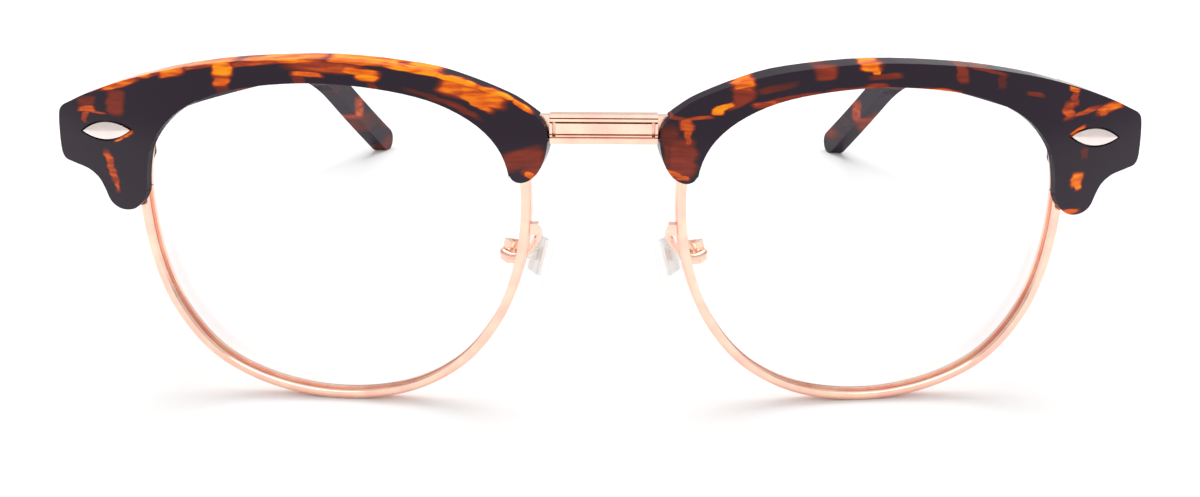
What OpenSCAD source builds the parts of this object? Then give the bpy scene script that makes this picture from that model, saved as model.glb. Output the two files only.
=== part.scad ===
// Browline glasses: two plastic brows over metal rims, a metal bridge,
// sprung nose pads on wire arms, and folding temples on riveted hinges.
// The frame stands on a table at z = 0, on its rims and its temple tips.
// The wearer looks along -Y, so the wearer's left is +X. Units are millimetres.

/* [Lenses] */
// Width of each lens
lens_w = 50; // [44:0.5:60]
// Height of each lens
lens_h = 44.4; // [38:0.2:54]
// Distance between the lenses
lens_gap = 21; // [18:0.5:25]
// Thickness of each lens
lens_t = 1.8; // [1.4:0.1:2.4]
// Radius of each lens's front surface
lens_r = 115; // [95:5:160]
// Angle that each lens turns back round the face
face_form = 5; // [3:0.5:7]

/* [Rims] */
// How far the rim's metal stands outside the lens edge
rim_over = 0.93; // [0.8:0.01:1.2]
// How far the rim's metal covers the lens edge
rim_lap = 0.32; // [0.25:0.01:0.45]
// Depth of the rim, front to back
rim_d = 2.2; // [2:0.1:2.8]
// Thickness of the lens bevel in the rim's groove
bevel_t = 0.8; // [0.6:0.1:1]

/* [Brows] */
// How far the brow covers the lens edge
brow_lip = 1.25; // [1:0.05:1.6]
// How far the brow's face stands in front of the lens
brow_front = 1.6; // [1.4:0.1:2.2]
// Thickness of the brow, front to back
brow_t = 4.4; // [4:0.1:5.4]
// Thickness of the brow's end piece at its outer edge
end_t = 3.5; // [2.8:0.1:4.4]

/* [Bridge] */
// Gap between the bridge bar's back corner and each brow
bar_gap = 0.05; // [0.05:0.05:0.8]
// Height of the bridge bar
bar_h = 3.8; // [3.4:0.1:4.4]
// Depth of the bridge bar
bar_d = 1.8; // [1.7:0.1:3]
// Thickness of the tongues behind the brows
tongue_t = 1.2; // [1:0.1:1.4]

/* [Hinges] */
// Height of the five barrels together
hinge_h = 6; // [5:0.5:6.5]
// Radius of the barrels
barrel_r = 1.25; // [1.1:0.05:1.3]
// Radius of the hinge screw
screw_r = 0.6; // [0.5:0.05:0.7]
// Thickness of the hinge leaves
leaf_t = 0.8; // [0.6:0.1:1]
// Length of the rivet plaque on the brow
plaque_l = 7.6; // [6:0.2:8]
// Height of the rivet plaque
plaque_h = 2.2; // [1.8:0.1:2.6]

/* [Temples] */
// Thickness of the temple at its hinge
temple_t = 4; // [3.6:0.1:4.6]
// Thickness of the temple at its tip
tip_t = 3.2; // [2.8:0.1:3.8]
// Height of the temple at its hinge
temple_h = 7.9; // [7.4:0.1:8.6]
// Height of the temple's slim blade
blade_h = 4.1; // [3.6:0.1:5]
// Height of the paddle at the tip
paddle_h = 5.4; // [4.6:0.1:6.6]
// Length from the hinge to the start of the ear bend
straight_l = 80; // [64:1:90]
// Length of the straight ear piece after the bend
ear_l = 29.7; // [28:0.1:42]
// Radius of the ear bend
bend_r = 48; // [36:1:60]
// Slope of the temple, down towards the ear
slope = 5.8; // [2:0.1:8]
// Slope of the ear piece
ear_slope = 38; // [28:1:44]
// Length of the flat, unbowed start of the temple
flat_l = 33; // [28:1:40]
// Radius of the inward bow of the temple
bow_r = 385; // [300:5:500]

/* [Nose pads] */
// Length of a nose pad
pad_l = 13.6; // [12:0.2:15]
// Width of a nose pad
pad_w = 7.6; // [6.6:0.2:8.6]
// Thickness of a nose pad
pad_t = 2.3; // [2:0.1:2.8]
// Lean of a pad's top towards the nose
pad_lean = 16; // [12:1:20]
// Turn of a pad's back edge away from the nose
pad_toe = 30; // [24:1:36]
// Radius of the pad arm's wire
arm_r = 0.5; // [0.4:0.05:0.6]

/* [Hidden] */

// Clearance between pieces that are fitted and stay put
fit = 0.05;
// Running clearance of the hinge and pad screws in the barrels that turn on them
run = 0.05;
// Clearance round the metal that lies in the brow's back
nest = 0.15;
// Clearance of a screw or rivet in the piece that grips it
grip = 0.02;
// Sides of a screw's circle and of a hinge barrel's
SCREW_SIDES = 32;
BARREL_SIDES = 48;

// Colours
tortoise = "#4a2a22";
gold = "#f2bfa4";
steel = "#c9c9cc";
clear_lens = "#dfe9ee";
silicone = "#eef1ee";

// Lens outline, each point a share of half the width and half the height,
// from the temple side over the top to the nose side
LENS_SHAPE = [
    [1, 0.17], [0.988, 0.42], [0.928, 0.617], [0.76, 0.806], [0.48, 0.941], [0.08, 1],
    [-0.3, 0.977], [-0.62, 0.89], [-0.86, 0.72], [-0.982, 0.486], [-1, 0.15], [-0.944, -0.198],
    [-0.824, -0.505], [-0.628, -0.766], [-0.34, -0.941], [0.02, -1], [0.38, -0.941],
    [0.676, -0.779], [0.868, -0.505], [0.964, -0.185]
];
// Samples on each stretch of the lens outline, and of the brow's
STEPS = 5;
BROW_STEPS = 4;
// Half the width of the drawn lens, and the scale from its height to the chosen one
drawn_half = 25;
kz = lens_h / 44.4;
// A place across the drawn lens, moved with the sides of the chosen one
brow_tip = 23.5;
function wide(x) = x + (lens_w / 2 - drawn_half) * max(-1, min(1, x / brow_tip));

// Outer edge of the brow from the nose side's lower tip over the top to the temple side's
// lower tip, in millimetres from the middle of the drawn lens
BROW_SHAPE = [
    [-brow_tip, 9.8], [-24.1, 8.95], [-25.1, 8.65], [-26.3, 9.1], [-27.3, 10.2], [-28, 11.9],
    [-28.3, 14], [-28.05, 15.5], [-27.3, 16.6], [-25.9, 17.85], [-23.3, 19.5], [-18.8, 21.25],
    [-12, 22.9], [-1.5, 23.9], [10.2, 23.35], [19.1, 22], [25.7, 20.35], [31.2, 18.5],
    [34.7, 17], [36.4, 16.1], [36.9, 14.7], [36.9, 10.9], [36.4, 9.4], [34.9, 8.9],
    [32.6, 8.3], [31.1, 7.3], [30.3, 6], [29.6, 4.4], [28.6, 3.6], [27.3, 3.35],
    [25.8, 3.7], [24.6, 4.7]
];
// Reach of that outline to the temple side and to the nose side
brow_out = wide(36.9);
brow_in = -wide(-28.3);
// First and last lens samples under the brow's lower edge
EDGE_FIRST = 2;
EDGE_LAST = 46;

// Heights above the lens's middle
bridge_rise = 15.3 * kz;
plaque_rise = 13.6 * kz;
temple_rise = 16.3 * kz;

// Places
eye_x = (lens_gap + lens_w) / 2;
eye_z = lens_h / 2 + rim_over;
bridge_z = eye_z + bridge_rise;
// How far the hinge lies under the temple's top
hinge_cover = 0.4;
hinge_z = eye_z + temple_rise - hinge_cover - hinge_h / 2;
// Reach of a cut or a slab that has to pass right through the front
through = 40;

// One point on a smooth curve through p1 and p2
function curve_point(p0, p1, p2, p3, t) =
    0.5 * (2 * p1 + (p2 - p0) * t + (2 * p0 - 5 * p1 + 4 * p2 - p3) * t * t
    + (3 * p1 - p0 - 3 * p2 + p3) * t * t * t);
function closed_curve(p, n = STEPS) =
    let (m = len(p))
    [for (i = [0:m - 1]) for (k = [0:n - 1])
        curve_point(p[(i + m - 1) % m], p[i], p[(i + 1) % m], p[(i + 2) % m], k / n)];
function open_curve(p, n = STEPS) =
    let (m = len(p))
    concat(
        [for (i = [0:m - 2]) for (k = [0:n - 1])
            curve_point(p[max(i - 1, 0)], p[i], p[i + 1], p[min(i + 2, m - 1)], k / n)],
        [p[m - 1]]);
function outward(c, i) =
    let (m = len(c), t = c[(i + 1) % m] - c[(i + m - 1) % m])
    [t[1], -t[0]] / norm(t);
function grown(c, d) = [for (i = [0:len(c) - 1]) c[i] + d * outward(c, i)];

LENS_EDGE = closed_curve([for (p = LENS_SHAPE) [p[0] * lens_w / 2, p[1] * lens_h / 2]]);
BROW_EDGE = concat(
    [for (i = [EDGE_FIRST:EDGE_LAST]) LENS_EDGE[i] - brow_lip * outward(LENS_EDGE, i)],
    open_curve([for (p = BROW_SHAPE) [wide(p[0]), p[1] * kz]], BROW_STEPS));
RIM_EDGE = grown(LENS_EDGE, rim_over);

// Depth of the lens's front surface behind its middle, at a place on the lens
function sag(x, z) = lens_r - sqrt(lens_r * lens_r - x * x - z * z);

// Frame of the wearer's left lens: origin at its middle, turned round the face
module eye_frame() {
    translate([eye_x, 0, eye_z]) rotate([0, 0, face_form]) children();
}
// From a place in the eye frame to one in the part's frame before it is centred
function from_eye(p) = [
    eye_x + p[0] * cos(face_form) - p[1] * sin(face_form),
    p[0] * sin(face_form) + p[1] * cos(face_form),
    eye_z + p[2]
];

// An outline in X and Z, drawn out along Y
module prism(outline, y0, y1) {
    translate([0, y1, 0]) rotate([90, 0, 0]) linear_extrude(y1 - y0) polygon(outline);
}
// Everything behind the lens's front surface moved back by d
module behind(d) {
    translate([0, lens_r, 0]) sphere(r = lens_r - d, $fn = 180);
}
// A curved plate of an outline, between two depths behind the lens's front
module shell(outline, d0, d1) {
    intersection() {
        prism(outline, -through, through);
        difference() {
            behind(d0);
            behind(d1);
        }
    }
}
// A box from one corner to the other
module block(a, b) {
    translate(a) cube(b - a);
}

// Depths, behind the lens's front surface
rim_front = (lens_t - rim_d) / 2;
bevel_front = (lens_t - bevel_t) / 2;
brow_back = brow_t - brow_front;
rabbet_front = rim_front - fit;

// Hinge, on the wearer's left
end_back = from_eye([brow_out, sag(brow_out, plaque_rise) - brow_front, 0])[1] + end_t;
temple_out = eye_x + brow_out * cos(face_form) - end_back * sin(face_form);
temple_in = temple_out - temple_t;
barrel_gap = 0.15;
barrel_lift = 0.25;
hinge_x = temple_in - barrel_r - barrel_gap;
hinge_y = end_back + barrel_r + barrel_lift;
knuckle_h = hinge_h / 5;
knuckle_gap = 0.05;
web_w = 2;
hinge_head_r = 1;
hinge_head_h = 0.5;

// Temple path in Y and Z
temple_y = end_back + 0.1;
path_z = eye_z + temple_rise - blade_h / 2;
bend_start = [temple_y + straight_l, path_z - straight_l * tan(slope)];
bend_middle = bend_start - bend_r * [sin(slope), cos(slope)];
tip_r = paddle_h / 2;
function bend_at(a) = bend_middle + bend_r * [sin(a), cos(a)];
function ear_at(s) = bend_at(ear_slope) + s * [cos(ear_slope), -sin(ear_slope)];
tip_middle = ear_at(ear_l - tip_r);
tip_y = tip_middle[0] + tip_r;
flat_end = temple_y + flat_l;

// The part is centred front to back, and its lowest point is at zero
front_y = min([for (p = BROW_EDGE) from_eye([p[0], sag(p[0], p[1]) - brow_front, 0])[1]]);
centre_y = (front_y + tip_y) / 2;
low_z = min(0, tip_middle[1] - tip_r);
module sided(side) {
    translate([0, -centre_y, -low_z]) mirror([side > 0 ? 0 : 1, 0, 0]) children();
}

// Brow

module brow(side) {
    color(tortoise) sided(side) difference() {
        intersection() {
            eye_frame() intersection() {
                prism(BROW_EDGE, -through, through);
                behind(-brow_front);
            }
            union() {
                eye_frame() difference() {
                    block([-lens_w, -through, -lens_h], [lens_w, through, lens_h]);
                    behind(brow_back);
                }
                end_block();
            }
            block([0, -through, 0], [2 * temple_out, end_back, 3 * lens_h]);
        }
        eye_frame() {
            rim_rabbet();
            closing_pocket();
            brow_screw_bore();
            plaque_recess();
        }
        tongue_pocket();
        leaf_pocket();
        rivets(rivet_r + grip);
        bridge_screw_shaft(bridge_screw_r + grip);
    }
}
// Thick end piece whose flat back face carries the hinge
module end_block() {
    low = 8.4 * kz;
    tall = 12 * kz;
    flat_x = leaf_in - 0.3;
    ramp_x = flat_x - 3.3;
    translate([0, 0, eye_z + low]) linear_extrude(tall)
        polygon([
            [ramp_x, -through], [ramp_x, end_back / 2], [flat_x, end_back],
            [2 * temple_out, end_back], [2 * temple_out, -through]
        ]);
}
// Space behind the brow's lip where the rim and the lens lie
module rim_rabbet() {
    intersection() {
        prism(grown(RIM_EDGE, fit), -through, through);
        behind(rabbet_front);
    }
}

// Rim and lens

module rim(side) {
    color(gold) sided(side) eye_frame() difference() {
        shell(RIM_EDGE, rim_front, rim_front + rim_d);
        prism(grown(LENS_EDGE, -rim_lap), -through, through);
        shell(grown(LENS_EDGE, fit), bevel_front - fit, bevel_front + bevel_t + fit);
        block([lens_w / 2 - 2, 0, lower_z], [lens_w / 2 + 2, through, upper_z]);
    }
}
module lens(side) {
    color(clear_lens, 0.35) sided(side) eye_frame() {
        shell(grown(LENS_EDGE, -rim_lap - fit), 0, lens_t);
        shell(LENS_EDGE, bevel_front, bevel_front + bevel_t);
    }
}

// Closing blocks, in the eye frame: a screw pulls the split rim shut on the lens

split_z = 6.1 * kz;
split_gap = 0.2;
upper_z = split_z + split_gap / 2;
lower_z = split_z - split_gap / 2;
upper_h = 1.5;
lower_h = 1.1;
closing_in = lens_w / 2 - 1;
closing_out = lens_w / 2 + 3.1;
closing_front = sag(lens_w / 2 + rim_over, split_z);
closing_back = closing_front + 2.1;
closing_x = closing_out - 1;
closing_mid = (closing_front + closing_back) / 2;
closing_r = 0.5;
closing_head_r = 0.85;
closing_head_h = 0.45;
lug_t = 0.8;
lug_end = closing_out + 2.3;
lug_start = closing_out - 0.5;
brow_screw_at = [closing_out + 1.2, closing_back, upper_z + upper_h / 2];
brow_screw_r = 0.45;
brow_screw_l = 2.2;
brow_head_r = 0.75;
brow_head_h = 0.4;

// A screw along Z, its head below its shaft, with a slot across the head
module slotted_screw(head_r, head_h, shaft_r, shaft_l) {
    slot_w = 0.22;
    difference() {
        union() {
            cylinder(r = shaft_r, h = shaft_l, $fn = SCREW_SIDES);
            translate([0, 0, -head_h]) cylinder(r = head_r, h = head_h, $fn = SCREW_SIDES);
        }
        block([-2 * head_r, -slot_w / 2, -2 * head_h], [2 * head_r, slot_w / 2, -head_h / 2]);
    }
}
module closing_block_upper(side) {
    top = upper_z + upper_h;
    color(gold) sided(side) eye_frame() difference() {
        union() {
            block([closing_in, closing_front, upper_z], [closing_out, closing_back, top]);
            block([lug_start, closing_back - lug_t, upper_z], [lug_end, closing_back, top]);
        }
        prism(RIM_EDGE, -through, through);
        translate([closing_x, closing_mid, upper_z - 1])
            cylinder(r = closing_r + grip, h = upper_h + 2, $fn = SCREW_SIDES);
        translate(brow_screw_at) rotate([90, 0, 0])
            cylinder(r = brow_screw_r + fit, h = 4 * lug_t, center = true, $fn = SCREW_SIDES);
    }
}
module closing_block_lower(side) {
    color(gold) sided(side) eye_frame() difference() {
        block([closing_in, closing_front, lower_z - lower_h], [closing_out, closing_back, lower_z]);
        prism(RIM_EDGE, -through, through);
        translate([closing_x, closing_mid, lower_z - lower_h - 1])
            cylinder(r = closing_r + fit, h = lower_h + 2, $fn = SCREW_SIDES);
    }
}
module closing_screw(side) {
    color(steel) sided(side) eye_frame() translate([closing_x, closing_mid, lower_z - lower_h])
        slotted_screw(closing_head_r, closing_head_h, closing_r, lower_h + split_gap + upper_h - 0.1);
}
// Screw from behind, through the upper block's lug into the brow
module brow_screw(side) {
    color(steel) sided(side) eye_frame() translate(brow_screw_at) rotate([90, 0, 0])
        slotted_screw(brow_head_r, brow_head_h, brow_screw_r, brow_screw_l);
}
module brow_screw_bore() {
    translate(brow_screw_at) rotate([90, 0, 0])
        cylinder(r = brow_screw_r + grip, h = brow_screw_l + 0.2, $fn = SCREW_SIDES);
}
// Pocket in the brow's back for both blocks, the lug and the screw heads
module closing_pocket() {
    top = upper_z + upper_h + nest;
    block(
        [closing_in, closing_front - nest, lower_z - lower_h - closing_head_h - nest],
        [closing_out + nest, through, top]);
    block([lug_start, closing_back - lug_t - fit, upper_z - nest], [lug_end + nest, through, top]);
}

// Bridge: a ribbed bar with a tongue behind each brow, soldered to the rims

// Front of the rim where the tongue meets it
rim_x = wide(-22.9);
rim_y = from_eye([rim_x, sag(rim_x, bridge_rise) + rim_front, 0])[1];
tongue_y = rim_y + rim_d - tongue_t - 0.1;
tongue_h = 3;
tongue_end = lens_gap / 2 + 3.5;
bar_y = tongue_y - 1.4;
bar_back = (bar_y + bar_d + brow_in * sin(face_form)) / cos(face_form);
bar_end = from_eye([-brow_in, bar_back, 0])[0] - bar_gap;
bridge_screw_x = lens_gap / 2 - 0.9;
bridge_screw_r = 0.5;
bridge_screw_l = tongue_t + 1.1;
bridge_head_r = 0.9;
bridge_head_h = 0.45;

module bridge() {
    h = bar_h / 2;
    rib = 0.12;
    groove = 0.3;
    notch_in = 0.75;
    notch_w = 0.4;
    notch_d = 0.9;
    color(gold) sided(1) difference() {
        union() {
            translate([-bar_end, 0, bridge_z]) rotate([90, 0, 90]) linear_extrude(2 * bar_end)
                polygon([
                    [bar_y + rib, h], [bar_y + rib, 0.78 * h], [bar_y + groove, 0.74 * h],
                    [bar_y + rib, 0.7 * h], [bar_y + rib, 0.52 * h], [bar_y + groove, 0.46 * h],
                    [bar_y, 0.4 * h], [bar_y, -0.28 * h], [bar_y + groove, -0.36 * h],
                    [bar_y + rib, -0.42 * h], [bar_y + rib, -0.5 * h], [bar_y + groove, -0.56 * h],
                    [bar_y + rib, -0.62 * h], [bar_y + rib, -h], [bar_y + bar_d, -h],
                    [bar_y + bar_d, h]
                ]);
            block(
                [-tongue_end, tongue_y, bridge_z - tongue_h / 2],
                [tongue_end, tongue_y + tongue_t, bridge_z + tongue_h / 2]);
        }
        for (m = [0, 1]) mirror([m, 0, 0]) {
            eye_frame() prism(RIM_EDGE, -through, through);
            bridge_screw_shaft(bridge_screw_r + fit);
            block(
                [bar_end - notch_in, -through, bridge_z - 0.5 * h],
                [bar_end - notch_in + notch_w, bar_y + notch_d, bridge_z + 0.5 * h]);
        }
    }
}
module tongue_pocket() {
    block(
        [0, tongue_y - fit, bridge_z - tongue_h / 2 - nest / 2],
        [tongue_end, through, bridge_z + tongue_h / 2 + nest / 2]);
}
// Screw from behind, through the tongue into the brow
module at_bridge_screw() {
    translate([bridge_screw_x, tongue_y + tongue_t, bridge_z]) rotate([90, 0, 0]) children();
}
module bridge_screw_shaft(r) {
    at_bridge_screw() cylinder(r = r, h = bridge_screw_l, $fn = SCREW_SIDES);
}
module bridge_screw(side) {
    color(steel) sided(side) at_bridge_screw()
        slotted_screw(bridge_head_r, bridge_head_h, bridge_screw_r, bridge_screw_l);
}

// Rivet plaque and hinge

plaque_u = hinge_x - eye_x - 1.05;
plaque_proud = 0.2;
plaque_t = 0.8;
plaque_gap = 0.25;
rivet_r = 0.6;
rivet_apart = plaque_l - 3.2;
rivet_end = end_back - 0.4;
plaque_face = sag(plaque_u, plaque_rise) - brow_front;
plaque_turn = asin(plaque_u / lens_r);
// Turn that lowers the plaque's outer end
plaque_lean = 5;
plaque_mid = from_eye([plaque_u, plaque_face, plaque_rise]);

// Pointed oval between two arcs, standing on the brow's face
module pointed_oval(l, h, y0, y1) {
    r = (l * l + h * h) / (4 * h);
    translate([0, y1, 0]) rotate([90, 0, 0]) linear_extrude(y1 - y0) intersection() {
        translate([0, h / 2 - r]) circle(r = r, $fn = 96);
        translate([0, r - h / 2]) circle(r = r, $fn = 96);
    }
}
module on_face() {
    translate([plaque_u, plaque_face, plaque_rise])
        rotate([-asin(plaque_rise / lens_r), 0, plaque_turn]) rotate([0, plaque_lean, 0]) children();
}
module plaque_recess() {
    floor_y = plaque_t - plaque_proud;
    on_face() pointed_oval(plaque_l + 4 * plaque_gap, plaque_h + 2 * plaque_gap, -brow_t, floor_y);
}
// Two shafts along Y, from inside the plaque to the hinge leaf
module rivets(r) {
    for (dx = [-rivet_apart / 2, rivet_apart / 2]) {
        start = plaque_mid[1] + dx * tan(plaque_turn + face_form) + 0.35;
        drop = dx * tan(plaque_lean);
        translate([plaque_mid[0] + dx, rivet_end, plaque_mid[2] - drop]) rotate([90, 0, 0])
            cylinder(r = r, h = rivet_end - start, $fn = SCREW_SIDES);
    }
}
module rivet_plaque(side) {
    color("#efe3dc") sided(side) {
        eye_frame() on_face() pointed_oval(plaque_l, plaque_h, -plaque_proud, plaque_t - plaque_proud);
        rivets(rivet_r);
    }
}

leaf_edge = 0.72;
leaf_in = plaque_mid[0] - rivet_apart / 2 - leaf_edge;
leaf_out = plaque_mid[0] + rivet_apart / 2 + leaf_edge;
module leaf_pocket() {
    block(
        [leaf_in - fit, end_back - leaf_t - fit, hinge_z - hinge_h / 2 - fit],
        [leaf_out + fit, through, hinge_z + hinge_h / 2 + fit]);
}
// Barrels of the hinge, counted from the bottom
module knuckle(i, gap, web_a, web_b) {
    z = hinge_z - hinge_h / 2 + i * knuckle_h + gap;
    h = knuckle_h - 2 * gap;
    translate([hinge_x, hinge_y, z]) cylinder(r = barrel_r, h = h, $fn = BARREL_SIDES);
    block([web_a[0], web_a[1], z], [web_b[0], web_b[1], z + h]);
}
module screw_bore() {
    translate([hinge_x, hinge_y, hinge_z])
        cylinder(r = screw_r + run, h = 2 * hinge_h, center = true, $fn = BARREL_SIDES);
}
module hinge_front(side) {
    color(gold) sided(side) difference() {
        union() {
            block(
                [leaf_in, end_back - leaf_t, hinge_z - hinge_h / 2],
                [leaf_out, end_back, hinge_z + hinge_h / 2]);
            for (i = [0, 2, 4])
                knuckle(i, 0,
                    [hinge_x - web_w / 2, end_back - leaf_t / 4],
                    [hinge_x + web_w / 2, hinge_y]);
        }
        screw_bore();
        rivets(rivet_r + grip);
    }
}
// The temple's leaf is shorter than the barrels, so the sloping temple covers it
temple_leaf_h = hinge_h - 1.6;
temple_leaf_y = hinge_y - 0.6;
shank_y = hinge_y + 6.5;
shank_l = 2;
core_t = 1.1;
core_h = 1.6;
core_mid = temple_in + temple_t / 2;
function path_at(y) = path_z - (y - temple_y) * tan(slope);
module temple_leaf(g) {
    block(
        [temple_in - g, temple_leaf_y - g, hinge_z - temple_leaf_h / 2 - g],
        [temple_in + leaf_t + g, shank_y + shank_l + g, hinge_z + temple_leaf_h / 2 + g]);
    block(
        [temple_in - g, shank_y - g, path_at(shank_y) - core_h / 2 - g],
        [core_mid + core_t / 2 + g, shank_y + shank_l + g, path_at(shank_y) + core_h / 2 + g]);
}
module hinge_temple(side) {
    color(gold) sided(side) difference() {
        union() {
            temple_leaf(0);
            for (i = [1, 3])
                knuckle(i, knuckle_gap,
                    [hinge_x, temple_leaf_y],
                    [temple_in + leaf_t / 2, hinge_y + barrel_r]);
        }
        screw_bore();
    }
}
module hinge_screw(side) {
    color(steel) sided(side) translate([hinge_x, hinge_y, hinge_z + hinge_h / 2]) rotate([180, 0, 0])
        slotted_screw(hinge_head_r, hinge_head_h, screw_r, hinge_h);
}

// Temple: a plan outline and a side outline drawn through each other

function bow(y) = y < flat_end ? 0 : bow_r - sqrt(bow_r * bow_r - pow(y - flat_end, 2));
function thick(y) = temple_t + (tip_t - temple_t) * max(0, y - flat_end) / (tip_y - flat_end);
// Rows of place along the path, slope there, and reach above and below the path
function station(d) = [[temple_y + d, path_z - d * tan(slope)], slope];
STATIONS = concat(
    [for (d = [0:flat_l / 8:flat_l]) station(d)],
    [for (a = [slope:(ear_slope - slope) / 8:ear_slope]) [bend_at(a), a]],
    [for (s = [0.25:0.25:1]) [ear_at(s * (ear_l - tip_r)), ear_slope]]
);
function above(s) =
    let (y = s[0][0], far = max(0, y - bend_start[0]) / (tip_middle[0] - bend_start[0]))
    blade_h / 2 + (paddle_h - blade_h) / 2 * far;
function below(s) = above(s) + (temple_h - blade_h) * pow(max(0, 1 - (s[0][0] - temple_y) / flat_l), 1.7);
function lean(s) = [sin(s[1] - slope), cos(s[1] - slope)];
TEMPLE_SIDE = concat(
    [for (s = STATIONS) s[0] + above(s) * lean(s)],
    [for (a = [15:15:165]) tip_middle + tip_r * [sin(a + ear_slope - slope), cos(a + ear_slope - slope)]],
    [for (i = [len(STATIONS) - 1:-1:0]) STATIONS[i][0] - below(STATIONS[i]) * lean(STATIONS[i])]
);
PLAN_ROWS = concat([temple_y, flat_end], [for (i = [1:14]) flat_end + (tip_y + 1 - flat_end) * i / 14]);
TEMPLE_PLAN = concat(
    [for (y = PLAN_ROWS) [temple_in - bow(y), y]],
    [for (i = [len(PLAN_ROWS) - 1:-1:0])
        [temple_in + thick(PLAN_ROWS[i]) - bow(PLAN_ROWS[i]), PLAN_ROWS[i]]]
);
// A strip of the path, as thick as w and as high as h, between two places along Y
module along_path(w, h, from_y, to_y) {
    rows = [for (s = STATIONS) if (s[0][0] > from_y && s[0][0] < to_y) s];
    side_rows = concat([[[from_y, path_at(from_y)], slope]], rows);
    intersection() {
        rotate([90, 0, 90]) linear_extrude(2 * temple_out) polygon(concat(
            [for (s = side_rows) s[0] + h / 2 * lean(s)],
            [for (i = [len(side_rows) - 1:-1:0]) side_rows[i][0] - h / 2 * lean(side_rows[i])]));
        linear_extrude(2 * lens_h) polygon(concat(
            [for (y = PLAN_ROWS) [temple_in + (thick(y) - w) / 2 - bow(y), y]],
            [for (i = [len(PLAN_ROWS) - 1:-1:0])
                let (y = PLAN_ROWS[i]) [temple_in + (thick(y) + w) / 2 - bow(y), y]]));
    }
}
module core(g) {
    along_path(core_t + 2 * g, core_h + 2 * g, shank_y + shank_l, tip_middle[0] - 8);
}
module core_wire(side) {
    color(steel) sided(side) core(0);
}
module temple(side) {
    color(tortoise) sided(side) difference() {
        intersection() {
            rotate([90, 0, 90]) linear_extrude(2 * temple_out) polygon(TEMPLE_SIDE);
            translate([0, 0, -lens_h]) linear_extrude(3 * lens_h) polygon(TEMPLE_PLAN);
        }
        temple_leaf(fit);
        core(fit);
    }
}

// Nose pads

// How far the pad's screw lies behind the foot of its arm
pad_back = 6.424;
foot = from_eye([-lens_w / 2 - rim_over, sag(lens_w / 2, 0) + rim_d / 2 - 0.2, 2 * kz]);
pad_pivot = [eye_x - lens_w / 2 + 1.5, foot[1] + pad_back, eye_z - 3.5 * kz];
pad_off = 3.4;
lug_r = 0.8;
lug_w = 0.8;
pad_screw_r = 0.4;
pad_head_r = 0.7;
pad_head_h = 0.4;
box_w = 2.1;
box_gap = 1.1;
box_h = 3;
box_back = 1.6;
box_wall = 0.65;
box_front = 0.9;
function turn_y(p, a) = [p[0] * cos(a) + p[2] * sin(a), p[1], p[2] * cos(a) - p[0] * sin(a)];
function turn_z(p, a) = [p[0] * cos(a) - p[1] * sin(a), p[0] * sin(a) + p[1] * cos(a), p[2]];
function from_pad(p) = pad_pivot + turn_z(turn_y(p, -pad_lean), -pad_toe);
module pad_frame() {
    translate(pad_pivot) rotate([0, 0, -pad_toe]) rotate([0, -pad_lean, 0]) children();
}
module across(r, y0, y1) {
    translate([0, y1, 0]) rotate([90, 0, 0]) cylinder(r = r, h = y1 - y0, $fn = SCREW_SIDES);
}
module core_shape(g) {
    block([-pad_off - 0.25 - g, -1.6 - g, -2.6 - g], [-pad_off + 0.25 + g, 1.6 + g, 2.6 + g]);
    block([-pad_off, -lug_w / 2 - g, -lug_r - g], [0, lug_w / 2 + g, lug_r + g]);
    across(lug_r + g, -lug_w / 2 - g, lug_w / 2 + g);
}
module nose_pad(side) {
    r = pad_t / 2;
    color(silicone, 0.6) sided(side) pad_frame() difference() {
        translate([-pad_off, 0, 0]) hull() {
            for (y = [-1, 1]) {
                translate([0, y * (pad_w / 2 - r), 0]) sphere(r = r, $fn = 24);
                for (z = [-1, 1])
                    translate([0, y * (pad_w / 2 - r) * 0.45, z * (pad_l / 2 - r)]) sphere(r = r, $fn = 24);
            }
        }
        core_shape(grip);
    }
}
module pad_core(side) {
    color(steel) sided(side) pad_frame() difference() {
        core_shape(0);
        across(pad_screw_r + run, -box_w, box_w);
    }
}
module pad_box(side) {
    color(gold) sided(side) pad_frame() difference() {
        block([-box_front, -box_w / 2, -box_h / 2], [box_back, box_w / 2, box_h / 2]);
        block([-2, -box_gap / 2, -box_h], [box_back - box_wall, box_gap / 2, box_h]);
        across(pad_screw_r + grip, -box_w, box_w);
    }
}
module pad_screw(side) {
    color(steel) sided(side) pad_frame() translate([0, -box_w / 2, 0]) rotate([-90, 0, 0])
        slotted_screw(pad_head_r, pad_head_h, pad_screw_r, box_w);
}

function unit(v) = v / norm(v);
function along(path) = [for (i = [0:len(path) - 1])
    unit(path[min(i + 1, len(path) - 1)] - path[max(i - 1, 0)])];
function carried(dirs, i, n) = i == len(dirs) ? [] :
    let (m = unit(n - (n * dirs[i]) * dirs[i])) concat([m], carried(dirs, i + 1, m));
module wire(path, r, sides = 10) {
    dirs = along(path);
    ups = carried(dirs, 0, [1, 0.3, 0.2]);
    rows = len(path);
    rings = [for (i = [0:rows - 1]) for (k = [0:sides - 1])
        let (a = 360 * k / sides) path[i] + r * (cos(a) * ups[i] + sin(a) * cross(dirs[i], ups[i]))];
    polyhedron(rings, concat(
        [[for (k = [0:sides - 1]) k]],
        [for (i = [0:rows - 2]) for (k = [0:sides - 1])
            let (a = i * sides + k, b = i * sides + (k + 1) % sides) [b + sides, b, a]],
        [for (i = [0:rows - 2]) for (k = [0:sides - 1])
            let (a = i * sides + k, b = i * sides + (k + 1) % sides) [a + sides, b + sides, a]],
        [[for (k = [sides - 1:-1:0]) (rows - 1) * sides + k]]));
}
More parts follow.
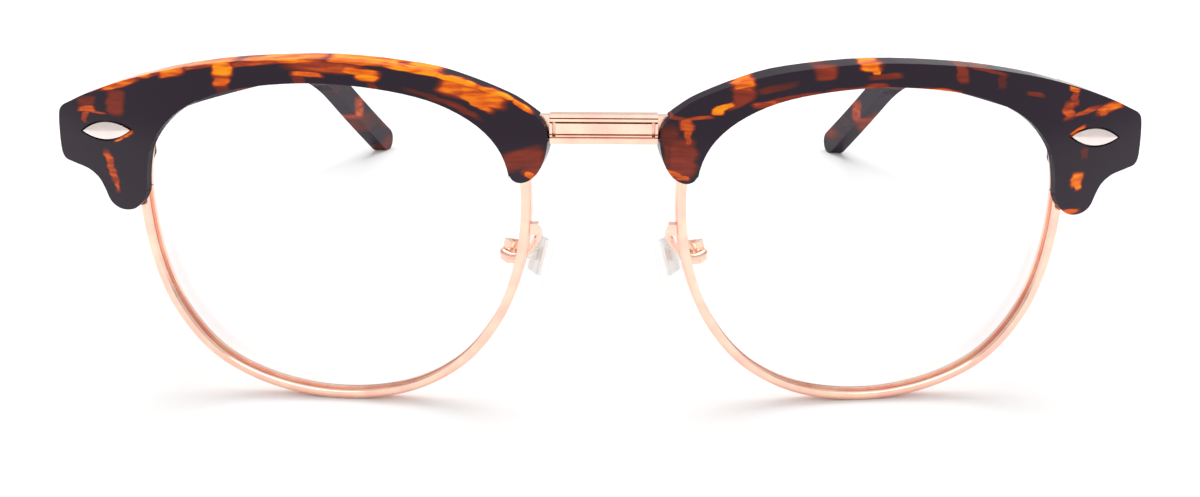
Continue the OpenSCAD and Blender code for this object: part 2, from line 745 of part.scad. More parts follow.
// Route of the arm's wire from its foot on the rim, down and back to the pad's box
FOOT_PLATE = [1.4, 1.2, 1.5];
ARM_ROUTE = concat(
    [for (p = [[-0.45, 0, 0], [-0.75, 1.3, -0.7], [-0.6, 2.8, -2.2], [0.4, 3.7, -4], [1.7, 3.9, -5.1],
        [3, 4.1, -5.4]]) foot + p],
    [for (p = [[box_back + 0.6, -0.6, -0.2], [box_back, 0, 0]]) from_pad(p)]
);
module pad_arm(side) {
    color(gold) sided(side) difference() {
        union() {
            wire(open_curve(ARM_ROUTE, 4), arm_r);
            translate(foot - [0.2, 0, 0]) cube(FOOT_PLATE, center = true);
        }
        eye_frame() shell(RIM_EDGE, -brow_front, rim_front + rim_d);
        pad_frame() block([-box_front, -box_w / 2, -box_h / 2], [box_back, box_w / 2, box_h / 2]);
    }
}

bridge();
brow(1);  // brow_left
brow(-1);  // brow_right
rim(1);  // rim_left
rim(-1);  // rim_right
lens(1);  // lens_left
lens(-1);  // lens_right
rivet_plaque(1);  // rivet_plaque_left
rivet_plaque(-1);  // rivet_plaque_right
hinge_front(1);  // hinge_front_left
hinge_front(-1);  // hinge_front_right
hinge_screw(1);  // hinge_screw_left
hinge_screw(-1);  // hinge_screw_right
hinge_temple(1);  // hinge_temple_left
hinge_temple(-1);  // hinge_temple_right
temple(1);  // temple_left
temple(-1);  // temple_right
core_wire(1);  // core_wire_left
core_wire(-1);  // core_wire_right
pad_arm(1);  // pad_arm_left
pad_arm(-1);  // pad_arm_right
pad_box(1);  // pad_box_left
pad_box(-1);  // pad_box_right
pad_screw(1);  // pad_screw_left
pad_screw(-1);  // pad_screw_right
pad_core(1);  // pad_core_left
pad_core(-1);  // pad_core_right
nose_pad(1);  // nose_pad_left
nose_pad(-1);  // nose_pad_right
closing_block_upper(1);  // closing_block_upper_left
closing_block_upper(-1);  // closing_block_upper_right
closing_block_lower(1);  // closing_block_lower_left
closing_block_lower(-1);  // closing_block_lower_right
closing_screw(1);  // closing_screw_left
closing_screw(-1);  // closing_screw_right
bridge_screw(1);  // bridge_screw_left
bridge_screw(-1);  // bridge_screw_right
brow_screw(1);  // brow_screw_left
brow_screw(-1);  // brow_screw_right
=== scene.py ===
"""Browline glasses: acetate brows on rose-gold rims, seen from the front on a white table.

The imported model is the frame. The sizes are those of the part's source, in millimetres. They stand
in the part's own frame (X to the wearer's left, Y back, Z up) or in the eye frame of one lens
(u to the temple, s back, v up, from the middle of the lens's front). Both are drawn on the
wearer's left, and the other side is their mirror.
"""

import logging
import math
from collections.abc import Callable, Sequence
from dataclasses import dataclass
from enum import Enum

import bmesh
import bpy
from mathutils import Matrix, Vector
from mathutils.geometry import delaunay_2d_cdt


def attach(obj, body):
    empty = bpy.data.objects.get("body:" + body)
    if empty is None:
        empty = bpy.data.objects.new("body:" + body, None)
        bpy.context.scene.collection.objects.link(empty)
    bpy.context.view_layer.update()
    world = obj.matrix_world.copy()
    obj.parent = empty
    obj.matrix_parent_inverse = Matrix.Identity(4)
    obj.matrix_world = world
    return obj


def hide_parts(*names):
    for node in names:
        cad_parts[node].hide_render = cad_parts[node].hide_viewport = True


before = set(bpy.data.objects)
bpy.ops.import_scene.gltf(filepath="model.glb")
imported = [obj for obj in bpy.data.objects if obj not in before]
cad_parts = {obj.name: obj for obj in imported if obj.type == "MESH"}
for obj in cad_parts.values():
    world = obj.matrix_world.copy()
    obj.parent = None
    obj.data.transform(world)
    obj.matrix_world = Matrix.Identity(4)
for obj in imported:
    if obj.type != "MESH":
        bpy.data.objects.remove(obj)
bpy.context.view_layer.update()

log = logging.getLogger("glasses")

MM = 0.001
SHARP = math.radians(38)
Pair = tuple[float, float]
Triple = tuple[float, float, float]
Depth = Callable[[float, float], float]
Place = Callable[[float, float, float], Vector]


class Side(Enum):
    """A side of the wearer. The value is the sign of X there."""

    LEFT = 1
    RIGHT = -1

    @property
    def word(self) -> str:
        """The side as it stands in the nodes' names."""
        return self.name.lower()


# Curves


def curve_point(p0: Pair, p1: Pair, p2: Pair, p3: Pair, t: float) -> Pair:
    """A point on a smooth curve through p1 and p2.

    Args:
        p0: The point before p1.
        p1: Where the stretch starts.
        p2: Where it ends.
        p3: The point after p2.
        t: Share of the stretch, from 0 to 1.

    Returns:
        The point, with as many numbers as the given ones.
    """
    return tuple(
        0.5 * (2 * b + (c - a) * t + (2 * a - 5 * b + 4 * c - d) * t * t + (3 * b - a - 3 * c + d) * t ** 3)
        for a, b, c, d in zip(p0, p1, p2, p3)
    )


def closed_curve(points: Sequence[Pair], steps: int) -> list[Pair]:
    """A smooth closed curve.

    Args:
        points: The points that it passes through.
        steps: Samples on each stretch between two points.

    Returns:
        The samples.
    """
    m = len(points)
    return [
        curve_point(points[i - 1], points[i], points[(i + 1) % m], points[(i + 2) % m], k / steps)
        for i in range(m) for k in range(steps)
    ]


def open_curve(points: Sequence[Pair], steps: int) -> list[Pair]:
    """A smooth open curve.

    Args:
        points: The points that it passes through, both ends among them.
        steps: Samples on each stretch between two points.

    Returns:
        The samples.
    """
    m = len(points)
    rows = [
        curve_point(points[max(i - 1, 0)], points[i], points[i + 1], points[min(i + 2, m - 1)], k / steps)
        for i in range(m - 1) for k in range(steps)
    ]
    return rows + [tuple(points[-1])]


def outward(curve: Sequence[Pair], i: int) -> Pair:
    """The direction out of a closed curve, as the part's source takes it.

    Args:
        curve: The curve's samples.
        i: The sample to stand at.

    Returns:
        A direction one long.
    """
    (ax, az), (bx, bz) = curve[i - 1], curve[(i + 1) % len(curve)]
    tx, tz = bx - ax, bz - az
    length = math.hypot(tx, tz) or 1.0
    return tz / length, -tx / length


def all_of_it(a: float, b: float) -> float:
    """The whole of a distance, at any place."""
    return 1.0


def grown(curve: Sequence[Pair], by: float, share: Depth = all_of_it) -> list[Pair]:
    """A closed curve moved outwards.

    Args:
        curve: The curve's samples.
        by: How far to move it. Less than 0 moves it inwards.
        share: The share of that distance at each place.

    Returns:
        The moved samples.
    """
    rows = []
    for i, (a, b) in enumerate(curve):
        (oa, ob), d = outward(curve, i), by * share(a, b)
        rows.append((a + d * oa, b + d * ob))
    return rows


def even(curve: Sequence[Pair], step: float, closed: bool = True) -> list[Pair]:
    """The curve with its samples an even distance apart.

    Args:
        curve: The samples to start from.
        step: The distance wanted between two samples.
        closed: Whether the last sample joins the first.

    Returns:
        The new samples. An open curve keeps both its ends.
    """
    rows = list(curve) + ([curve[0]] if closed else [])
    reach = [0.0]
    for (ax, az), (bx, bz) in zip(rows, rows[1:]):
        reach.append(reach[-1] + math.hypot(bx - ax, bz - az))
    count = max(8, round(reach[-1] / step))
    made, j = [], 0
    for k in range(count if closed else count + 1):
        d = reach[-1] * k / count
        while j < len(rows) - 2 and reach[j + 1] < d:
            j += 1
        t = (d - reach[j]) / max(reach[j + 1] - reach[j], 1e-9)
        (ax, az), (bx, bz) = rows[j], rows[j + 1]
        made.append((ax + (bx - ax) * t, az + (bz - az) * t))
    return made


def eased(curve: Sequence[Pair], rounds: int) -> list[Pair]:
    """A closed curve with each sample drawn towards its neighbours, which rounds its corners.

    Args:
        curve: The curve's samples.
        rounds: How often to do it.

    Returns:
        The new samples.
    """
    rows = list(curve)
    for _ in range(rounds):
        rows = [
            tuple(0.5 * b + 0.25 * (a + c) for a, b, c in zip(rows[i - 1], rows[i], rows[(i + 1) % len(rows)]))
            for i in range(len(rows))
        ]
    return rows


def ease(t: float) -> float:
    """A smooth step from 0 to 1."""
    t = min(max(t, 0.0), 1.0)
    return t * t * (3 - 2 * t)


# Meshes


@dataclass(frozen=True)
class Ring:
    """One ring of a plate's side: how far inside the outline, and how deep under a face."""

    inset: float
    under: float
    from_back: bool = False


def rounded(front: float, back: float, steps: int = 5) -> list[Ring]:
    """The rings of a plate whose two edges are rounded.

    Args:
        front: Radius of the front edge.
        back: Radius of the back edge.
        steps: Rings on each rounding, less one.

    Returns:
        The rings, from the front face to the back face.
    """
    turns = [math.radians(90 * k / steps) for k in range(steps + 1)]
    ahead = [Ring(front * (1 - math.sin(a)), front * (1 - math.cos(a))) for a in turns]
    behind = [Ring(back * (1 - math.cos(a)), back * (1 - math.sin(a)), True) for a in turns]
    return ahead + behind


def band(bm: bmesh.types.BMesh, one: Sequence[bmesh.types.BMVert], two: Sequence[bmesh.types.BMVert]) -> None:
    """Joins two rings of vertices with a band of faces.

    Args:
        bm: The mesh to add to.
        one: The first ring.
        two: The second ring, with as many vertices, or with one, on which the first ring closes.
    """
    for i, vert in enumerate(one):
        j = (i + 1) % len(one)
        far = (two[j], two[i]) if len(two) > 1 else two
        bm.faces.new((vert, one[j], *far))


@dataclass
class Plate:
    """A plate between two faces, with a closed outline and a side made of rings.

    The grid is the distance between the points on its faces, which keep a share of it, clear, off
    the outermost ring. The scale is each place's share of the rings' insets and depths.
    """

    outline: list[Pair]
    front: Depth
    back: Depth
    place: Place
    rings: list[Ring]
    grid: float
    scale: Depth = all_of_it
    clear: float = 0.45

    def cap(self, bm: bmesh.types.BMesh, ring: list[bmesh.types.BMVert], flat: list[Pair], depth: Depth) -> None:
        """Fills a face inside its ring with an even net of points on the face.

        Args:
            bm: The mesh to add to.
            ring: The ring's vertices.
            flat: Their places on the outline's plane.
            depth: The depth of the face at a place.
        """
        lows, highs = [min(p[i] for p in flat) for i in (0, 1)], [max(p[i] for p in flat) for i in (0, 1)]
        # Rows of a net of triangles, each shifted from the last
        extra, row = [], 0
        b = lows[1] + self.grid / 2
        while b < highs[1]:
            a = lows[0] + self.grid * (0.5 if row % 2 else 0.25)
            while a < highs[0]:
                if self.inside(flat, a, b):
                    extra.append((a, b))
                a += self.grid
            b += self.grid * 0.87
            row += 1
        points = [Vector(p) for p in flat + extra]
        n = len(flat)
        verts, _, faces, origins, _, _ = delaunay_2d_cdt(points, [], [list(range(n))], 1, 1e-7)
        # A vertex that comes from one of the first n points is the ring's own
        made = []
        for v, origin in zip(verts, origins):
            first = min(origin) if origin else n
            if first < n:
                made.append(ring[first])
            else:
                made.append(bm.verts.new(self.place(v[0], depth(v[0], v[1]), v[1])))
        for face in faces:
            corners = [made[i] for i in face]
            if len(set(corners)) == len(corners):
                bm.faces.new(corners)

    def inside(self, flat: list[Pair], a: float, b: float) -> bool:
        """Tells whether a place lies inside a ring and not close to it.

        Args:
            flat: The ring.
            a: The place, along the outline's first axis.
            b: The place, along its second axis.

        Returns:
            True if a point of the net can stand there.
        """
        hit = False
        for (pa, pb), (qa, qb) in zip(flat, flat[1:] + flat[:1]):
            if math.hypot(pa - a, pb - b) < self.clear * self.grid:
                return False
            if (pb > b) != (qb > b) and a < (qa - pa) * (b - pb) / (qb - pb) + pa:
                hit = not hit
        return hit

    def mesh(self) -> bmesh.types.BMesh:
        """Makes the rings, joins them and closes both faces.

        Returns:
            The plate as a closed mesh.
        """
        bm = bmesh.new()
        loops, flats = [], []
        for ring in self.rings:
            flat = grown(self.outline, -ring.inset, self.scale)
            loop = []
            for (a, b), (ea, eb) in zip(flat, self.outline):
                d = ring.under * self.scale(ea, eb)
                depth = self.back(a, b) - d if ring.from_back else self.front(a, b) + d
                loop.append(bm.verts.new(self.place(a, depth, b)))
            loops.append(loop)
            flats.append(flat)
        for one, two in zip(loops, loops[1:]):
            band(bm, one, two)
        self.cap(bm, loops[0], flats[0], self.front)
        self.cap(bm, loops[-1], flats[-1], self.back)
        bmesh.ops.recalc_face_normals(bm, faces=bm.faces)
        return bm


def swept(rows: Sequence[Sequence[Vector]]) -> bmesh.types.BMesh:
    """A section carried along an open path, with both its ends closed off.

    Args:
        rows: The section's points at each place on the path.

    Returns:
        The new mesh.
    """
    bm = bmesh.new()
    loops = [[bm.verts.new(p) for p in row] for row in rows]
    for one, two in zip(loops, loops[1:]):
        band(bm, one, two)
    bm.faces.new(loops[0])
    bm.faces.new(loops[-1])
    bmesh.ops.recalc_face_normals(bm, faces=bm.faces)
    return bm


def cad_copy(node: str) -> bmesh.types.BMesh:
    """A mesh like a CAD node's, with the vertices that its import split joined again.

    Args:
        node: The node's name.

    Returns:
        The new mesh.
    """
    bm = bmesh.new()
    bm.from_mesh(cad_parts[node].data)
    bmesh.ops.remove_doubles(bm, verts=bm.verts, dist=0.0005 * MM)
    return bm


def shade_smooth(mesh: bpy.types.Mesh, sharp: float = SHARP) -> None:
    """Shades a mesh smooth, but for the edges that turn by more than an angle."""
    mesh.polygons.foreach_set("use_smooth", [True] * len(mesh.polygons))
    mesh.set_sharp_from_angle(angle=sharp)


def as_object(name: str, bm: bmesh.types.BMesh, sharp: float = SHARP) -> bpy.types.Object:
    """A smooth-shaded object of a mesh.

    Args:
        name: The object's name.
        bm: The mesh, which is used up.
        sharp: Edges that turn by more than this angle stay sharp.

    Returns:
        The object, linked to the scene.
    """
    mesh = bpy.data.meshes.new(name)
    bm.to_mesh(mesh)
    bm.free()
    for layer in ("custom_normal", "sharp_face", "sharp_edge"):
        if layer in mesh.attributes:
            mesh.attributes.remove(mesh.attributes[layer])
    shade_smooth(mesh, sharp)
    piece = bpy.data.objects.new(name, mesh)
    bpy.context.scene.collection.objects.link(piece)
    return piece


def kept_inside(piece: bpy.types.Object, node: str) -> None:
    """Cuts a piece to its CAD node's solid, which gives it the node's pockets and bores.

    Args:
        piece: The piece.
        node: The node's name.
    """
    cutter = as_object("cutter", cad_copy(node))
    cut = piece.modifiers.new("pockets", "BOOLEAN")
    cut.operation, cut.solver, cut.object = "INTERSECT", "EXACT", cutter
    graph = bpy.context.evaluated_depsgraph_get()
    mesh = bpy.data.meshes.new_from_object(piece.evaluated_get(graph))
    piece.modifiers.clear()
    piece.data = mesh
    shade_smooth(mesh)
    bpy.data.objects.remove(cutter)


# Materials


def linear(code: str) -> tuple[float, float, float, float]:
    """A colour as the linear numbers that shaders take.

    Args:
        code: Its sRGB hex value, with the leading #.

    Returns:
        Red, green, blue and an alpha of 1.
    """
    parts = [int(code[i:i + 2], 16) / 255 for i in (1, 3, 5)]
    rgb = [c / 12.92 if c <= 0.04045 else ((c + 0.055) / 1.055) ** 2.4 for c in parts]
    return (*rgb, 1.0)


def add(mat: bpy.types.Material, kind: str, links: dict | None = None, **settings) -> bpy.types.Node:
    """Adds a node to a material.

    Args:
        mat: The material.
        kind: The node's type, without the leading ShaderNode.
        links: Input names or numbers, each with the output that feeds it or the value it is set to.
        settings: The node's own properties.

    Returns:
        The new node.
    """
    node = mat.node_tree.nodes.new("ShaderNode" + kind)
    for key, value in settings.items():
        setattr(node, key, value)
    for key, value in (links or {}).items():
        socket = node.inputs[key]
        if isinstance(value, bpy.types.NodeSocket):
            mat.node_tree.links.new(value, socket)
        else:
            socket.default_value = value
    return node


def new_material(name: str) -> bpy.types.Material:
    """An empty material with a node tree.

    Args:
        name: The material's name.

    Returns:
        The material.
    """
    mat = bpy.data.materials.new(name)
    mat.use_nodes = True
    mat.node_tree.nodes.clear()
    return mat


def finish_with(mat: bpy.types.Material, shader: bpy.types.NodeSocket) -> bpy.types.Material:
    """Feeds the material's surface and hands the material back."""
    add(mat, "OutputMaterial", {"Surface": shader})
    return mat


def millimetres(mat: bpy.types.Material) -> bpy.types.NodeSocket:
    """The place on the piece in millimetres, which stays with the piece as it moves."""
    coords = add(mat, "TexCoord")
    return add(mat, "VectorMath", {0: coords.outputs["Object"], "Scale": 1 / MM}, operation="SCALE").outputs[0]


@dataclass(frozen=True)
class Window:
    """An amber or red-brown patch in the acetate, in the eye frame's u and v. On the right brow's top edge and
    crease, some are partly a painted highlight.

    The tilt turns it anticlockwise with u to the right, and deep is its reach behind the face.
    """

    u: float
    v: float
    half_u: float
    half_v: float
    tilt: float
    tone: float
    deep: float = 12.0

    def middle(self, side: Side) -> Triple:
        """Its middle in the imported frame, in millimetres."""
        x, y, z = EYE.on_face(self.u, self.v)
        return x * side.value, y - EYE.centre_y, z

    def reach(self) -> Triple:
        """Its half sizes along x, y and z."""
        return self.half_u, self.deep, self.half_v


@dataclass(frozen=True)
class EarWindow(Window):
    """A patch right across a temple's ear piece, with u for its place along Y and v for its height."""

    def middle(self, side: Side) -> Triple:
        """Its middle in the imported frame, in millimetres."""
        return 0.0, self.u - EYE.centre_y, self.v

    def reach(self) -> Triple:
        """Its half sizes along x, y and z."""
        return self.deep, self.half_u, self.half_v


@dataclass(frozen=True)
class TortoiseAcetate:
    """Cellulose acetate cut from a laminated tortoiseshell block, then tumbled and polished.

    Dark plum-brown patches lie beside clear amber ones. Their edges fade over a millimetre or two,
    because the colours were pressed together warm, and fine streaks follow the sheet. The polish
    gives one clean soft gloss, which weakens at a glancing view, where the edges show their colour.
    """

    name: str
    windows: tuple[Window, ...] = ()
    side: Side = Side.LEFT
    mottled: float = 0.0
    dark: str = "#261927"
    brown: str = "#5a1f15"
    red: str = "#93301a"
    orange: str = "#e86200"
    amber: str = "#ff9c00"
    roughness: float = 0.12
    ior: float = 1.49
    shine: float = 0.28
    blotch_mm: float = 9.0
    fray_mm: float = 1.1
    streak_mm: float = 0.7
    drawn: Triple = (0.3, 0.5, 1.0)
    wander: Triple = (1.7, 0.9, 0.6)
    streaked: Triple = (0.16, 0.3, 1.0)
    streak_tones: Pair = (0.64, 1.14)
    glancing: Pair = (0.35, 0.68)
    edge_shine: float = 0.01

    def build(self) -> bpy.types.Material:
        """Makes the material.

        Returns:
            The material.
        """
        mat = new_material(self.name)
        place = millimetres(mat)
        drawn = add(mat, "Mapping", {"Vector": place, "Scale": self.drawn})
        fray = add(mat, "TexNoise", {"Vector": drawn.outputs[0], "Scale": 1 / self.fray_mm, "Detail": 1.5})
        centred = add(mat, "VectorMath", {0: fray.outputs["Color"], 1: (0.5, 0.5, 0.5)}, operation="SUBTRACT")
        shift = add(mat, "VectorMath", {0: centred.outputs[0], 1: self.wander}, operation="MULTIPLY")
        frayed = add(mat, "VectorMath", {0: place, 1: shift.outputs[0]}, operation="ADD").outputs[0]
        tone = self.blotches(mat, frayed)
        for window in self.windows:
            tone = add(mat, "Math", {0: tone, 1: self.patch(mat, frayed, window)}, operation="MAXIMUM").outputs[0]
        streaks = add(mat, "Mapping", {"Vector": place, "Scale": self.streaked})
        grain = add(mat, "TexNoise", {"Vector": streaks.outputs[0], "Scale": 1 / self.streak_mm, "Detail": 4.0})
        low, high = self.streak_tones
        spread = add(mat, "MapRange", {"Value": grain.outputs["Fac"], 1: 0.3, 2: 0.7, 3: low, 4: high})
        tone = add(mat, "Math", {0: tone, 1: spread.outputs[0]}, operation="MULTIPLY").outputs[0]
        ramp = add(mat, "ValToRGB", {"Fac": tone})
        steps = ((0.0, self.dark), (0.22, self.brown), (0.5, self.red), (0.72, self.orange), (0.95, self.amber))
        bands = ramp.color_ramp.elements
        while len(bands) < len(steps):
            bands.new(0.5)
        for band, (at, code) in zip(bands, steps):
            band.position, band.color = at, linear(code)
        fine = add(mat, "TexNoise", {"Vector": place, "Scale": 0.9, "Detail": 2.0})
        gloss = add(mat, "MapRange", {
            "Value": fine.outputs["Fac"], 3: self.roughness * 0.8, 4: self.roughness * 1.25,
        })
        view = add(mat, "LayerWeight")
        shine = add(mat, "MapRange", {
            "Value": view.outputs["Facing"], 1: self.glancing[0], 2: self.glancing[1], 3: self.shine,
            4: self.edge_shine,
        })
        shader = add(mat, "BsdfPrincipled", {
            "Base Color": ramp.outputs["Color"], "Roughness": gloss.outputs[0], "IOR": self.ior,
            "Specular IOR Level": self.shine,
        })
        mat.node_tree.links.new(shine.outputs[0], shader.inputs["Specular IOR Level"])
        return finish_with(mat, shader.outputs[0])

    def blotches(self, mat: bpy.types.Material, frayed: bpy.types.NodeSocket) -> bpy.types.NodeSocket:
        """The tone of the patches that nothing places by hand.

        Args:
            mat: The material.
            frayed: The place on the piece, pushed about at the patches' edges.

        Returns:
            A tone from 0 to the acetate's mottling.
        """
        wide = add(mat, "Mapping", {"Vector": frayed, "Scale": (1.0, 0.6, 1.3)})
        noise = add(mat, "TexNoise", {"Vector": wide.outputs[0], "Scale": 1 / self.blotch_mm, "Detail": 1.0})
        spread = add(mat, "MapRange", {"Value": noise.outputs["Fac"], 1: 0.53, 2: 0.72, 3: 0.0, 4: self.mottled})
        return spread.outputs[0]

    def patch(self, mat: bpy.types.Material, frayed: bpy.types.NodeSocket, window: Window) -> bpy.types.NodeSocket:
        """The tone of one window, full inside and fading past its edge.

        Args:
            mat: The material.
            frayed: The place on the piece, pushed about at the patches' edges.
            window: The window.

        Returns:
            A tone from 0 to the window's own.
        """
        tilt = -math.radians(window.tilt) * self.side.value
        inside = add(mat, "Mapping", {
            "Vector": frayed, "Location": window.middle(self.side), "Rotation": (0, tilt, 0),
            "Scale": window.reach(),
        }, vector_type="TEXTURE")
        squared = add(mat, "VectorMath", {0: inside.outputs[0], 1: inside.outputs[0]}, operation="MULTIPLY")
        reach = add(mat, "VectorMath", {0: squared.outputs[0]}, operation="LENGTH")
        fade = add(mat, "MapRange", {"Value": reach.outputs["Value"], 1: 1.8, 2: 0.5, 3: 0.0, 4: window.tone},
                   interpolation_type="SMOOTHSTEP")
        return fade.outputs[0]


@dataclass(frozen=True)
class PlatedMetal:
    """Nickel silver with a thin precious plate, polished by barrel tumbling.

    It mirrors softly, with fine random lines that stretch the reflections a little. Shade is painted
    into its corners and grooves: brown-gold a little way out and almost black deepest in. The painted
    shade is left off where corner_mm, its reach from a corner, is 0.
    """

    name: str
    face: str
    deep: str
    roughness: float = 0.2
    line_mm: float = 0.35
    film: str = "#7a4a1c"
    black: str = "#120a06"
    corner_mm: float = 0.0

    def build(self) -> bpy.types.Material:
        """Makes the material.

        Returns:
            The material.
        """
        mat = new_material(self.name)
        place = millimetres(mat)
        cloud = add(mat, "TexNoise", {"Vector": place, "Scale": 0.35, "Detail": 2.0})
        tint = add(mat, "MapRange", {"Value": cloud.outputs["Fac"], 1: 0.35, 2: 0.65})
        colour = add(mat, "Mix", {0: tint.outputs[0], 6: linear(self.face), 7: linear(self.deep)}, data_type="RGBA")
        if self.corner_mm:
            colour = self.corners(mat, colour.outputs[2])
        lines = add(mat, "TexNoise", {"Vector": place, "Scale": 1 / self.line_mm, "Detail": 3.0})
        gloss = add(mat, "MapRange", {
            "Value": lines.outputs["Fac"], 3: self.roughness * 0.7, 4: self.roughness * 1.3,
        })
        bump = add(mat, "Bump", {"Height": lines.outputs["Fac"], "Distance": 0.001 * MM, "Strength": 0.3})
        shader = add(mat, "BsdfPrincipled", {
            "Base Color": colour.outputs[2], "Roughness": gloss.outputs[0], "Metallic": 1.0,
            "Normal": bump.outputs[0],
        })
        return finish_with(mat, shader.outputs[0])

    def corners(self, mat: bpy.types.Material, colour: bpy.types.NodeSocket) -> bpy.types.Node:
        """Paints shade into the plate's colour where it is shut in.

        Args:
            mat: The material.
            colour: The plate's colour.

        Returns:
            The node that mixes the painted shade in.
        """
        # Painted shade: ambient occlusion picks out corners and grooves, and the ramp turns them brown-gold, then
        # near black deepest in
        open_sky = add(mat, "AmbientOcclusion", {"Distance": self.corner_mm * MM}, samples=8)
        corner = add(mat, "ValToRGB", {"Fac": open_sky.outputs["AO"]})
        bands = corner.color_ramp.elements
        bands.new(0.5)
        for band, (at, code) in zip(bands, ((0.12, self.black), (0.34, self.film), (0.56, "#ffffff"))):
            band.position, band.color = at, linear(code)
        return add(mat, "Mix", {0: 1.0, 6: colour, 7: corner.outputs["Color"]},
                   data_type="RGBA", blend_type="MULTIPLY")


@dataclass(frozen=True)
class TurnedSteel:
    """Stainless steel bar, turned: rings round the axis of each screw, drawn coarser than real ones."""

    name: str
    face: str = "#d6d2ce"
    ring_mm: float = 0.12
    roughness: float = 0.26

    def build(self) -> bpy.types.Material:
        """Makes the material.

        Returns:
            The material.
        """
        mat = new_material(self.name)
        place = millimetres(mat)
        # The wave texture turns 20 radians a unit, so a whole ring is 2 pi of ring_mm wide
        rings = add(mat, "TexWave", {"Vector": place, "Scale": 1 / (self.ring_mm * 20), "Distortion": 1.2},
                    wave_type="RINGS", rings_direction="Z")
        gloss = add(mat, "MapRange", {
            "Value": rings.outputs["Fac"], 3: self.roughness * 0.8, 4: self.roughness * 1.3,
        })
        bump = add(mat, "Bump", {"Height": rings.outputs["Fac"], "Distance": 0.003 * MM, "Strength": 0.3})
        shader = add(mat, "BsdfPrincipled", {
            "Base Color": linear(self.face), "Roughness": gloss.outputs[0], "Metallic": 1.0,
            "Normal": bump.outputs[0],
        })
        return finish_with(mat, shader.outputs[0])


@dataclass(frozen=True)
class CoatedLens:
    """Demo lens of cast resin with a coating against reflections, so that only about 1% shines back."""

    name: str
    tint: str = "#fdfdfd"
    coat: str = "#f4f4f8"
    ior: float = 1.5
    kept: float = 0.12
    roughness: Pair = (0.02, 0.05)

    def build(self) -> bpy.types.Material:
        """Makes the material.

        Returns:
            The material.
        """
        mat = new_material(self.name)
        place = millimetres(mat)
        cloud = add(mat, "TexNoise", {"Vector": place, "Scale": 0.08, "Detail": 1.0})
        low, high = self.roughness
        gloss = add(mat, "MapRange", {"Value": cloud.outputs["Fac"], 3: low, 4: high})
        clear = add(mat, "BsdfTransparent", {"Color": linear(self.tint)})
        shine = add(mat, "BsdfAnisotropic", {"Color": linear(self.coat), "Roughness": gloss.outputs[0]})
        fresnel = add(mat, "Fresnel", {"IOR": self.ior})
        share = add(mat, "Math", {0: fresnel.outputs[0], 1: self.kept}, operation="MULTIPLY")
        both = add(mat, "MixShader", {0: share.outputs[0], 1: clear.outputs[0], 2: shine.outputs[0]})
        return finish_with(mat, both.outputs[0])


@dataclass(frozen=True)
class MouldedSilicone:
    """Clear silicone rubber, moulded: almost see-through, with a milky rim and a faint satin shine."""

    name: str
    body: str = "#f4f2f1"
    clear: str = "#fafafa"
    ior: float = 1.41
    roughness: float = 0.2
    haze: float = 0.07
    rim: float = 0.4

    def build(self) -> bpy.types.Material:
        """Makes the material.

        Returns:
            The material.
        """
        mat = new_material(self.name)
        place = millimetres(mat)
        grain = add(mat, "TexNoise", {"Vector": place, "Scale": 2.5, "Detail": 2.0})
        gloss = add(mat, "MapRange", {
            "Value": grain.outputs["Fac"], 3: self.roughness * 0.7, 4: self.roughness * 1.4,
        })
        through = add(mat, "BsdfTransparent", {"Color": linear(self.clear)})
        solid = add(mat, "BsdfPrincipled", {
            "Base Color": linear(self.body), "Roughness": gloss.outputs[0], "IOR": self.ior,
        })
        edge = add(mat, "LayerWeight", {"Blend": 0.35})
        share = add(mat, "MapRange", {"Value": edge.outputs["Facing"], 1: 0.35, 2: 1.0, 3: self.haze, 4: self.rim})
        both = add(mat, "MixShader", {0: share.outputs[0], 1: through.outputs[0], 2: solid.outputs[0]})
        return finish_with(mat, both.outputs[0])


@dataclass(frozen=True)
class PaperFloor:
    """White seamless paper, matt, with a tooth too fine to see but for its even softness."""

    name: str = "seamless_paper_matt"
    white: str = "#fbfbfb"

    def build(self) -> bpy.types.Material:
        """Makes the material.

        Returns:
            The material.
        """
        mat = new_material(self.name)
        shader = add(mat, "BsdfDiffuse", {"Color": linear(self.white), "Roughness": 0.6})
        return finish_with(mat, shader.outputs[0])


# Sizes and places that several pieces share


